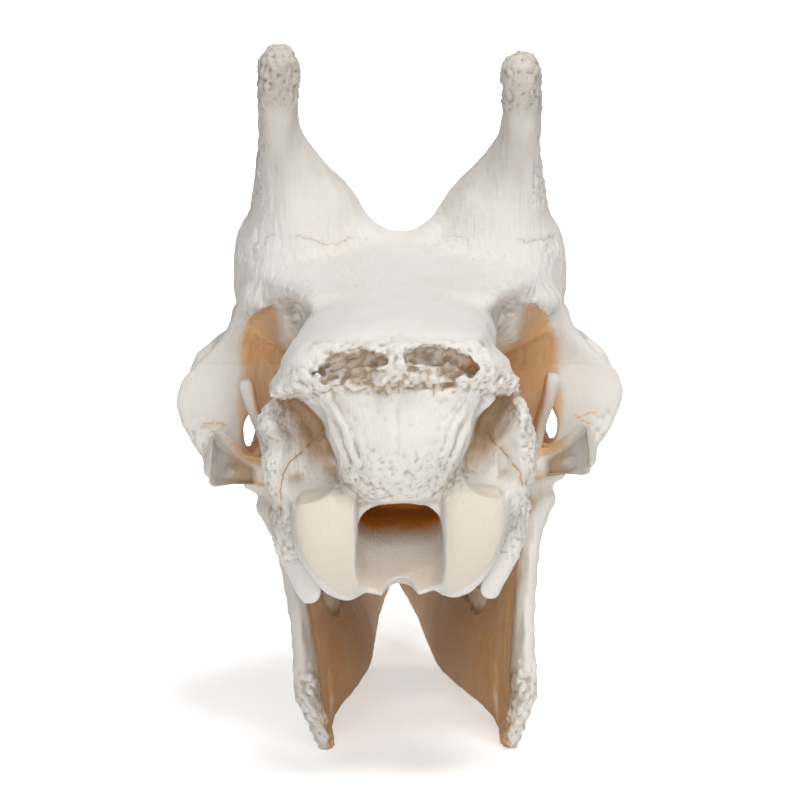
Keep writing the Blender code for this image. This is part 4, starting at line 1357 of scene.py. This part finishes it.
def cheekTooth(name, s, index):
    y, x, length, width, lobes = s["row"][index]
    points = [(row[0], row[1]) for row in s["row"]]
    before, after = points[max(index - 1, 0)], points[min(index + 1, len(points) - 1)]
    turn = math.atan2(after[1] - before[1], after[0] - before[0])
    lift = 1.0 if s["crown"] > s["neck"] else -1.0
    angle = (np.arange(72) + 0.5) * 2 * math.pi / 72
    v = np.sign(np.cos(angle)) * np.abs(np.cos(angle)) ** 0.78
    u = np.sign(np.sin(angle)) * np.abs(np.sin(angle)) ** 0.7
    joint = (1 + np.cos(math.pi * lobes * (u + 1))) / 2  # 1 where two lobes meet, 0 at the middle of each
    rounded = (v < 0) if lift < 0 else (v > 0)
    outline = np.where(rounded, v * (1 - 0.24 * joint**2), v * (0.93 + 0.09 * joint**4))
    rings = []
    for z, wide, long in (
        (s["root"], 0.66, 0.80),
        (s["neck"] - lift * 3, 0.84, 0.93),
        (s["neck"], 0.90, 0.96),
        (s["neck"] + lift * 5, 0.98, 1.0),
        (s["crown"] - lift * 2.5, 0.97, 1.0),
        (s["crown"] + lift * 0.4, 0.93, 0.97),
    ):
        across, along = outline * width / 2 * wide, u * length / 2 * long * 0.985
        px = x + across * math.cos(turn) + along * math.sin(turn)
        py = y - across * math.sin(turn) + along * math.cos(turn)
        rings.append(np.stack([px, py, np.full(72, float(z))], axis=1))
    tooth = loft(name, rings)
    soften(tooth, s["voxel"], 4)

    points, normals = readPoints(tooth)
    dx, dy = points[:, 0] - x, points[:, 1] - y
    along = (dx * math.sin(turn) + dy * math.cos(turn)) / (length / 2)
    across = (dx * math.cos(turn) - dy * math.sin(turn)) / (width / 2)
    height = (points[:, 2] - s["neck"]) * lift
    worn = fade(normals[:, 2] * lift, 0.35, 0.75) * (height > 4)
    lobe = np.round((along + 1) * lobes / 2 - 0.5)
    middle = (lobe + 0.5) * 2 / lobes - 1
    ring = np.hypot((along - middle) * lobes * 1.12, across * 1.1)
    slot = np.exp(-(((ring - 0.42) / 0.10) ** 2)) * fade(np.abs(across), 0.0, 0.25)
    rim = np.exp(-(((ring - 0.62) / 0.07) ** 2)) + np.exp(-(((ring - 0.24) / 0.07) ** 2))
    rim += fade(ring, 0.9, 1.0)
    cusps = 1.3 * np.cos(math.pi * (along - middle) * lobes) * fade(np.abs(across), 0.2, 0.8)
    push = worn * (0.5 * rim - 2.0 * slot + 0.8 * cusps + 0.35 * softNoise(points, 4, 91, 2))
    lines = stretched(points, (1.3, 1.3, 9.0), 92, 2)
    push += (1 - worn) * (0.16 * lines + 0.2 * softNoise(points, 5, 93))
    points += normals * push[:, None]
    movePoints(tooth, points)
    storeLayer(tooth, "worn", worn * (1 - fade(rim, 0.2, 0.7)))
    storeLayer(tooth, "groove", np.maximum(slot * worn, 0.35 + hollowness(tooth, points, normals, 10)))
    storeLayer(tooth, "neck", 1 - fade(height + 1.4 * softNoise(points, 6, 94), 0, 6.5))
    return tooth


def frontTooth(name, s, crowns):
    across, along = roundSection(32, 2.2)
    forms = []
    for x, y, lean, width in crowns:
        sideways, forward = math.cos(lean), math.sin(lean)
        rings = []
        for step, wide, thick in s["outline"]:
            centre = (x + step * forward * 0.8, y + step * sideways * 0.8, s["height"] + step * s["rise"])
            centre = np.array(centre)
            dx = across * width / 2 * wide
            hollow = -0.5 * np.cos(np.clip(across, -1, 1) * math.pi / 2) * (along > 0) * (step > 0)
            rings.append(centre + np.stack([dx * sideways, -dx * forward, along * thick + hollow], axis=1))
        forms.append(loft(name, rings))
    tooth, *rest = forms
    if rest:
        combine(tooth, rest, "UNION")
    soften(tooth, s["voxel"], 3)
    points, normals = readPoints(tooth)
    reach = np.hypot(points[:, 0] - crowns[0][0] * 0.5, points[:, 1] - 560)
    lines = stretched(points, (1.2, 8.0, 3.0), 95, 2)
    points += normals * (0.12 * lines + 0.14 * softNoise(points, 4, 96))[:, None]
    movePoints(tooth, points)
    storeLayer(tooth, "worn", fade(reach, reach.max() - 1.6, reach.max() - 0.4) * 0.8)
    storeLayer(tooth, "groove", 0.35 + hollowness(tooth, points, normals, 10))
    storeLayer(tooth, "neck", 1 - fade(reach + softNoise(points, 4, 97), reach.max() - 13, reach.max() - 8))
    return tooth


def allTeeth():
    teeth = {}
    for side, word in ((-1, "Left"), (1, "Right")):
        made = []
        lowerNode = "mandible_" + word.lower()
        for index, kind in enumerate(("Molar3", "Molar2", "Molar1", "Premolar4", "Premolar3", "Premolar2")):
            made.append(("upper" + kind, cheekTooth("upper" + kind, upperTeeth, index), "upper_jaw"))
            made.append(("lower" + kind, cheekTooth("lower" + kind, lowerTeeth, index), lowerNode))
        groups = [frontTeeth["crowns"][k : k + 1] for k in range(3)] + [frontTeeth["crowns"][3:]]
        for number, crowns in enumerate(groups):
            kind = f"incisor{number + 1}" if number < 3 else "canine"
            made.append((kind, frontTooth(kind, frontTeeth, crowns), lowerNode))
        for name, tooth, node in made:
            if side < 0:
                flip(tooth)
            if node != "upper_jaw":
                jawShear(tooth, jaw)
            uneven(tooth)
            tooth.name = name + word
            teeth[tooth.name] = (tooth, node)
    report(f"{len(teeth)} teeth")
    return teeth


# Parting the bones where the solids are parted

def cutAway(form, cutter, operation):
    # a clean cut that leaves the point layers in order: new points take the values of the nearest old one
    layers = [a.name for a in form.data.attributes if a.data_type == "FLOAT" and a.domain == "POINT"]
    kept = {name: readLayer(form, name) for name in layers}
    points, _ = readPoints(form)
    storeLayer(form, "old", np.ones(len(points)))
    combine(form, [cutter], operation)
    cut, _ = readPoints(form)
    fresh = np.flatnonzero(readLayer(form, "old") < 1)
    form.data.attributes.remove(form.data.attributes["old"])
    if len(fresh):
        low, high = cut[fresh].min(axis=0) - 6, cut[fresh].max(axis=0) + 6
        around = np.flatnonzero(((points > low) & (points < high)).all(axis=1))
        tree = kdTree(points[around])
        nearest = around[[tree.find(Vector(point))[1] for point in cut[fresh]]]
        for name in layers:
            values = readLayer(form, name)
            values[fresh] = kept[name][nearest]
            form.data.attributes[name].data.foreach_set("value", values)
    sharpenCut(form, fresh)
    return form


def kdTree(points):
    tree = KDTree(len(points))
    for index, point in enumerate(points):
        tree.insert(Vector(point), index)
    tree.balance()
    return tree


def sharpenCut(form, fresh):
    # the rim of a cut is an edge, so that the shading of the outer face runs on across it
    isNew = np.zeros(len(form.data.vertices), bool)
    isNew[fresh] = True
    ends = np.empty(len(form.data.edges) * 2, np.int32)
    form.data.edges.foreach_get("vertices", ends)
    picked = np.flatnonzero(isNew[ends.reshape(-1, 2)].all(axis=1))
    bm = bmesh.new()
    bm.from_mesh(form.data)
    bm.edges.ensure_lookup_table()
    for index in picked:
        edge = bm.edges[index]
        if len(edge.link_faces) == 2 and edge.calc_face_angle() > 0.5:
            edge.smooth = False
    bm.to_mesh(form.data)
    bm.free()


def partOff(form, name, region):
    piece = copyOf(form, name)
    cutAway(piece, copyOf(region, "inner"), "INTERSECT")
    cutAway(form, region, "DIFFERENCE")
    return dropCrumbs(piece)


partings = {
    # four corners as seen from above, each with the height at which a horn is cut from its foot
    "hornSeat": [(2, 40, 310.3), (140, 40, 264.8), (140, 260, 264.8), (2, 260, 310.3)],
    "hornTop": 420,
    # corners of the near and the far end of the region that takes the nasal bones
    "nasalStart": [(-20, 292, 236), (20, 292, 236), (20, 292, 300), (-20, 292, 300)],
    "nasalEnd": [(-15, 500, 136), (15, 500, 136), (15, 500, 300), (-15, 500, 300)],
    # outline as seen from above, then low and high
    "cheekbone": ([(64, 165), (145, 165), (145, 266), (67, 266), (71, 246), (66, 230)], 118, 212),
    # outlines as seen from the side, then how far they reach outward
    "premaxilla": ([(428, 206), (504, 70), (650, 70), (650, 206)], 0.05, 60),
    "frontal": (
        [(126, 310), (150, 250), (168, 212.1), (240, 212.1), (268, 228), (312, 262), (312, 330), (126, 330)],
        -145,
        145,
    ),
    "upperJaw": [(136, 60), (136, 128), (204, 152), (204, 300), (560, 300), (560, 60)],
    "occiput": ([(-40, 60), (58, 60), (58, 300), (-40, 300)], -145, 145),
}


def partBones(head, s):
    bones = {}

    def take(name, region, node):
        bones[name] = (partOff(head, name, region), node)

    for side, word in ((-1, "Left"), (1, "Right")):
        hornTop = [(x, y, s["hornTop"]) for x, y, _ in s["hornSeat"]]
        hornSeat = loft("hornSeat", [s["hornSeat"], hornTop])
        cheekArea = prism("cheekArea", *s["cheekbone"])
        beak = prism("beak", *s["premaxilla"], along="X")
        for name, region in (("ossicone", hornSeat), ("cheekbone", cheekArea), ("premaxilla", beak)):
            if side < 0:
                flip(region)
            if name == "premaxilla" and "nasalBones" not in bones:
                take("nasalBones", loft("roof", [s["nasalStart"], s["nasalEnd"]]), "nasal_bones")
            take(name + word, region, f"{name}_{word.lower()}")
    take("frontalBones", prism("front", *s["frontal"], along="X"), "forehead")
    for low, high, word in ((-100, 0, "Left"), (0, 100, "Right")):
        take("upperJaw" + word, prism("jawArea", s["upperJaw"], low, high, along="X"), "upper_jaw")
    take("occiput", prism("nape", *s["occiput"], along="X"), "braincase")
    bones["cranium"] = (dropCrumbs(head), "braincase")
    head.name = "cranium"
    return bones


# Materials

def colour(code):
    # an sRGB hex colour as linear light
    parts = [int(code[k : k + 2], 16) / 255 for k in (0, 2, 4)]
    return (*[c / 12.92 if c <= 0.04045 else ((c + 0.055) / 1.055) ** 2.4 for c in parts], 1.0)


def addNode(tree, kind, values=None, links=None, **settings):
    node = tree.nodes.new("ShaderNode" + kind)
    for name, value in settings.items():
        setattr(node, name, value)
    for name, value in (values or {}).items():
        node.inputs[name].default_value = value
    for name, source in (links or {}).items():
        tree.links.new(source, node.inputs[name])
    return node


dryBone = {
    "white": "E9E5E0",
    "ivory": "DDD5CA",
    "tan": "E1B077",
    "orange": "E08A12",
    "brown": "8E673E",
    "crack": "B07A3A",
    "grey": "9C8F80",
    "shade": "C8B190",
    "crevice": "A38A6A",
    "waxy": "DDD3C4",
    "roughness": 0.6,
    "jointRoughness": 0.42,
    "specular": 0.3,
    "blotch": 46,  # millimetres, as are the next four
    "fibre": 1.4,
    "streak": 9,
    "pore": 0.9,
    "grit": 3.0,
}


def boneMaterial(s):
    # Bone dried and bleached: chalky and matt, with greasy tan where flesh and marrow lay, brown dirt in its
    # pores and cracks, dirt and painted shade in its small hollows and painted shade in its broad hollows
    material = bpy.data.materials.new("bleachedDryBone")
    material.use_nodes = True
    tree = material.node_tree
    shader = tree.nodes["Principled BSDF"]
    place = addNode(tree, "TexCoord").outputs["Object"]
    mask = {name: addNode(tree, "Attribute", attribute_name=name).outputs["Fac"] for name in layerNames}
    upright = addNode(tree, "Mapping", {"Scale": (1, 0.6, 0.08)}, {"Vector": place}).outputs[0]
    for name, detail, space in (
        ("blotch", 3.0, place),
        ("streak", 4.0, place),
        ("pore", 3.0, place),
        ("fibre", 3.0, upright),
    ):
        values = {"Scale": 1000 / s[name], "Detail": detail, "Roughness": 0.6}
        mask[name] = addNode(tree, "TexNoise", values, {"Vector": space}).outputs["Fac"]
    grains = addNode(tree, "TexVoronoi", {"Scale": 1000 / s["grit"]}, {"Vector": place})
    mask["grain"] = grains.outputs["Distance"]
    fromLine = addNode(tree, "Math", {1: 0.5}, {0: mask["crack"]}, operation="SUBTRACT")
    mask["fromLine"] = addNode(tree, "Math", None, {0: fromLine.outputs[0]}, operation="ABSOLUTE").outputs[0]

    # masks made from masks: new name, source, the source's range and what it becomes
    for name, source, low, high, bottom, top in (
        ("yellowing", "blotch", 0.35, 0.75, 0.0, 0.55),
        ("streaky", "streak", 0.3, 0.75, 0.85, 1.0),
        ("oily", "streak", 0.3, 0.75, 0.9, 1.0),
        ("blotchy", "streak", 0.46, 0.66, 0.0, 1.0),
        ("hollow", "pit", 0.55, 0.9, 0.0, 1.0),
        ("dirtiness", "rough", 0.0, 1.0, 0.28, 0.75),
        ("sunk", "deep", 0.58, 0.98, 0.0, 0.7),
        ("speck", "grain", 0.27, 0.1, 0.0, 0.8),
        ("line", "fromLine", 0.012, 0.06, 0.85, 0.0),
        ("halo", "fromLine", 0.04, 0.30, 0.22, 0.0),
        ("matt", "joint", 0.0, 1.0, s["roughness"], s["jointRoughness"]),
    ):
        values = {"From Min": low, "From Max": high, "To Min": bottom, "To Max": top}
        mask[name] = addNode(tree, "MapRange", values, {"Value": mask[source]}).outputs["Result"]
    for name, first, second in (
        ("warmth", "warm", "streaky"),
        ("greasy", "stain", "oily"),
        ("crackLine", "line", "open"),
        ("crackHalo", "halo", "open"),
        # dirt and painted shade in the small hollows, stronger on porous bone
        ("dirt", "hollow", "dirtiness"),
        ("roughSpeck", "speck", "rough"),
        ("speckle", "roughSpeck", "blotchy"),
        ("gritHeight", "grain", "rough"),
    ):
        factors = {0: mask[first], 1: mask[second]}
        mask[name] = addNode(tree, "Math", None, factors, operation="MULTIPLY").outputs[0]

    tint = addNode(tree, "RGB")
    tint.outputs[0].default_value = colour(s["white"])
    tint = tint.outputs[0]
    # the shade tint is painted shade in broad hollows; the crevice tint is dirt and painted shade in small
    # hollows
    for code, factor in (
        ("ivory", "yellowing"),
        ("shade", "sunk"),
        ("tan", "warmth"),
        ("grey", "grey"),
        ("waxy", "joint"),
        ("orange", "greasy"),
        ("crevice", "dirt"),
        ("brown", "speckle"),
        ("crack", "crackHalo"),
        ("crack", "crackLine"),
    ):
        values, links = {7: colour(s[code])}, {0: mask[factor], 6: tint}
        tint = addNode(tree, "Mix", values, links, data_type="RGBA").outputs[2]
    tree.links.new(tint, shader.inputs["Base Color"])
    tree.links.new(mask["matt"], shader.inputs["Roughness"])
    shader.inputs["IOR"].default_value = 1.54
    shader.inputs["Specular IOR Level"].default_value = s["specular"]
    shader.inputs["Subsurface Weight"].default_value = 0.05
    shader.inputs["Subsurface Radius"].default_value = (1.0, 0.7, 0.45)
    shader.inputs["Subsurface Scale"].default_value = 0.0015

    # pores, then fibres, then grit, each in relief on the one before
    relief = {}
    for name, strength, depth in (("pore", 0.5, 0.6), ("fibre", 0.55, 1.0), ("gritHeight", 0.7, 0.9)):
        values = {"Strength": strength, "Distance": depth * mm}
        bump = addNode(tree, "Bump", values, {"Height": mask[name], **relief})
        relief = {"Normal": bump.outputs["Normal"]}
    tree.links.new(relief["Normal"], shader.inputs["Normal"])
    return material


toothEnamel = {
    "enamel": "DDD2BC",
    "dentine": "A98455",
    "stain": "4A3018",
    "root": "A88558",
    "roughness": 0.28,
    "rootRoughness": 0.55,
    "smear": 7,  # millimetres, as is the next
    "hair": 0.8,
}


def toothMaterial(s):
    # Tooth worn by chewing: glassy ivory enamel with tar-brown stain in its folds, and duller dentine on the
    # chewing face and the root
    material = bpy.data.materials.new("wornEnamelAndDentine")
    material.use_nodes = True
    tree = material.node_tree
    shader = tree.nodes["Principled BSDF"]
    place = addNode(tree, "TexCoord").outputs["Object"]
    layers = ("worn", "groove", "neck")
    mask = {name: addNode(tree, "Attribute", attribute_name=name).outputs["Fac"] for name in layers}
    for name in ("smear", "hair"):
        noise = addNode(tree, "TexNoise", {"Scale": 1000 / s[name], "Detail": 4.0}, {"Vector": place})
        mask[name] = noise.outputs["Fac"]
    for name, source, low, high, bottom, top in (
        ("smeared", "smear", 0.4, 0.75, 0.0, 0.45),
        ("tar", "groove", 0.45, 0.95, 0.0, 0.9),
        ("gloss", "neck", 0.0, 1.0, s["roughness"], s["rootRoughness"]),
    ):
        values = {"From Min": low, "From Max": high, "To Min": bottom, "To Max": top}
        mask[name] = addNode(tree, "MapRange", values, {"Value": mask[source]}).outputs["Result"]

    tint = addNode(tree, "RGB")
    tint.outputs[0].default_value = colour(s["enamel"])
    tint = tint.outputs[0]
    for code, factor in (("dentine", "smeared"), ("root", "neck"), ("dentine", "worn"), ("stain", "tar")):
        values, links = {7: colour(s[code])}, {0: mask[factor], 6: tint}
        tint = addNode(tree, "Mix", values, links, data_type="RGBA").outputs[2]
    tree.links.new(tint, shader.inputs["Base Color"])
    tree.links.new(mask["gloss"], shader.inputs["Roughness"])
    shader.inputs["IOR"].default_value = 1.62
    bump = addNode(tree, "Bump", {"Strength": 0.25, "Distance": 0.0004}, {"Height": mask["hair"]})
    tree.links.new(bump.outputs["Normal"], shader.inputs["Normal"])
    return material


# Studio

studio = {
    "paper": 0.93,
    "paperGlow": 0.36,  # only as the camera sees it, so that the paper stays white without lighting the skull
    "paperLight": 0.1,  # what it gives off in every direction, as on a light table
    "worldStrength": 0.1,
    "halfWidth": 6,  # metres, as are y and z along the sweep
    "sweep": [(-4, 0), (3.2, 0), (3.7, 0.06), (4.1, 0.25), (4.35, 0.6), (4.45, 1.1), (4.45, 5)],
    # size in metres, watts, where each light stands and what it is turned to
    "lights": [
        ("frontSoftbox", 0.8, 6, (0.5, -1.9, 1.3), (0, -0.2, 0.2)),
        ("topSoftbox", 0.7, 17, (0.25, -0.75, 1.8), (0, -0.15, 0.2)),
        ("lowCard", 0.8, 9, (-0.1, -1.8, 0.35), (0, -0.1, 0.06)),
        ("leftBackLight", 1.5, 75, (-1.7, 1.3, 2.6), (-0.8, 4.4, 0.8)),
        ("rightBackLight", 1.5, 75, (1.7, 1.3, 2.6), (0.8, 4.4, 0.8)),
    ],
}


def buildStudio(s):
    bm = bmesh.new()
    (y, z), *rest = s["sweep"]
    ends = [bm.verts.new((x, y, z)) for x in (-s["halfWidth"], s["halfWidth"])]
    edges = [bm.edges.new(ends)]
    for nextY, nextZ in rest:
        made = bmesh.ops.extrude_edge_only(bm, edges=edges)["geom"]
        edges = [item for item in made if isinstance(item, bmesh.types.BMEdge)]
        verts = [item for item in made if isinstance(item, bmesh.types.BMVert)]
        bmesh.ops.translate(bm, vec=(0, nextY - y, nextZ - z), verts=verts)
        y, z = nextY, nextZ
    for face in bm.faces:
        face.smooth = True
    bm.normal_update()
    if bm.faces[:][0].normal.z < 0:
        bmesh.ops.reverse_faces(bm, faces=bm.faces)
    sweep = meshObject("studioSweep", bm)
    paper = bpy.data.materials.new("mattWhitePaper")
    paper.use_nodes = True
    tree = paper.node_tree
    shader = tree.nodes["Principled BSDF"]
    shader.inputs["Base Color"].default_value = (s["paper"], s["paper"], s["paper"], 1)
    shader.inputs["Roughness"].default_value = 0.9
    shader.inputs["Emission Color"].default_value = (1, 1, 1, 1)
    seen = addNode(tree, "LightPath").outputs["Is Camera Ray"]
    glow = addNode(tree, "Math", {1: s["paperGlow"], 2: s["paperLight"]}, {0: seen}, operation="MULTIPLY_ADD")
    tree.links.new(glow.outputs[0], shader.inputs["Emission Strength"])
    sweep.data.materials.append(paper)

    world = bpy.data.worlds.new("softRoom")
    world.use_nodes = True
    sky = world.node_tree.nodes["Background"]
    sky.inputs["Color"].default_value = (1.0, 1.0, 1.0, 1)
    sky.inputs["Strength"].default_value = s["worldStrength"]
    bpy.context.scene.world = world
    bpy.context.scene.view_settings.view_transform = "Standard"  # plain whites, as in a catalogue picture

    for name, size, power, place, aim in s["lights"]:
        lamp = bpy.data.lights.new(name, "AREA")
        lamp.size = size
        lamp.energy = power
        holder = bpy.data.objects.new(name, lamp)
        holder.location = place
        holder.rotation_euler = (Vector(aim) - Vector(place)).to_track_quat("-Z", "Y").to_euler()
        bpy.context.scene.collection.objects.link(holder)


view = {
    "behind": 1250,  # millimetres behind the back of the condyles
    "height": 319,
    "focal": 2444,  # focal length, picture width and drop of the aim at that distance, all in picture points
    "width": 800,
    "drop": 220,
}


def placeCamera(s):
    # a long lens behind the skull, a little above the eye sockets and tipped down
    lens = bpy.data.cameras.new("camera")
    lens.sensor_width = 36
    lens.lens = lens.sensor_width * s["focal"] / s["width"]
    lens.clip_end = 50
    camera = bpy.data.objects.new("camera", lens)
    camera.location = (0, -(s["behind"] + middleY) * mm, s["height"] * mm)
    camera.rotation_euler = (math.pi / 2 - math.atan(s["drop"] / s["focal"]), 0, 0)
    bpy.context.scene.collection.objects.link(camera)
    bpy.context.scene.camera = camera


def settle(form, node, material):
    form.data.materials.clear()
    form.data.materials.append(material)
    form.data.shade_smooth()
    form.data.transform(Matrix.Translation((0, -middleY * mm, 0)))
    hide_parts(node)
    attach(form, "root")


def cutSockets(head):
    # room in the skull for the condyles of the lower jaw, as the jaw lies
    room = jaw["socketRoom"]
    rows = [(*row[:3], row[3] + room, row[4] + room) for row in jaw["condyle"]]
    for socket in bothSides([tube("socketCut", rows, across=(0, 1, 0))]):
        jawShear(socket, jaw)
        cutAway(head, socket, "DIFFERENCE")


def main():
    placeCamera(view)
    buildStudio(studio)
    bone, enamel = boneMaterial(dryBone), toothMaterial(toothEnamel)
    head = skullSkin(skull)
    sculptSkull(head)
    stainSkull(head)
    cutSockets(head)
    uneven(head)
    report("cut the jaw sockets")
    sides = ("left", "right")
    bones = partBones(head, partings)
    report(f"parted into {len(bones)} bones")
    for sign, side in zip((-1, 1), sides):
        bones["lowerJaw" + side.title()] = (jawHalf(sign, side.title()), "mandible_" + side)
    for name, (form, node) in bones.items():
        settle(form, node, bone)
        report(f"{name}, {sum(len(p.vertices) - 2 for p in form.data.polygons)} triangles")
    for tooth, node in allTeeth().values():
        settle(tooth, node, enamel)


main()
report("done")
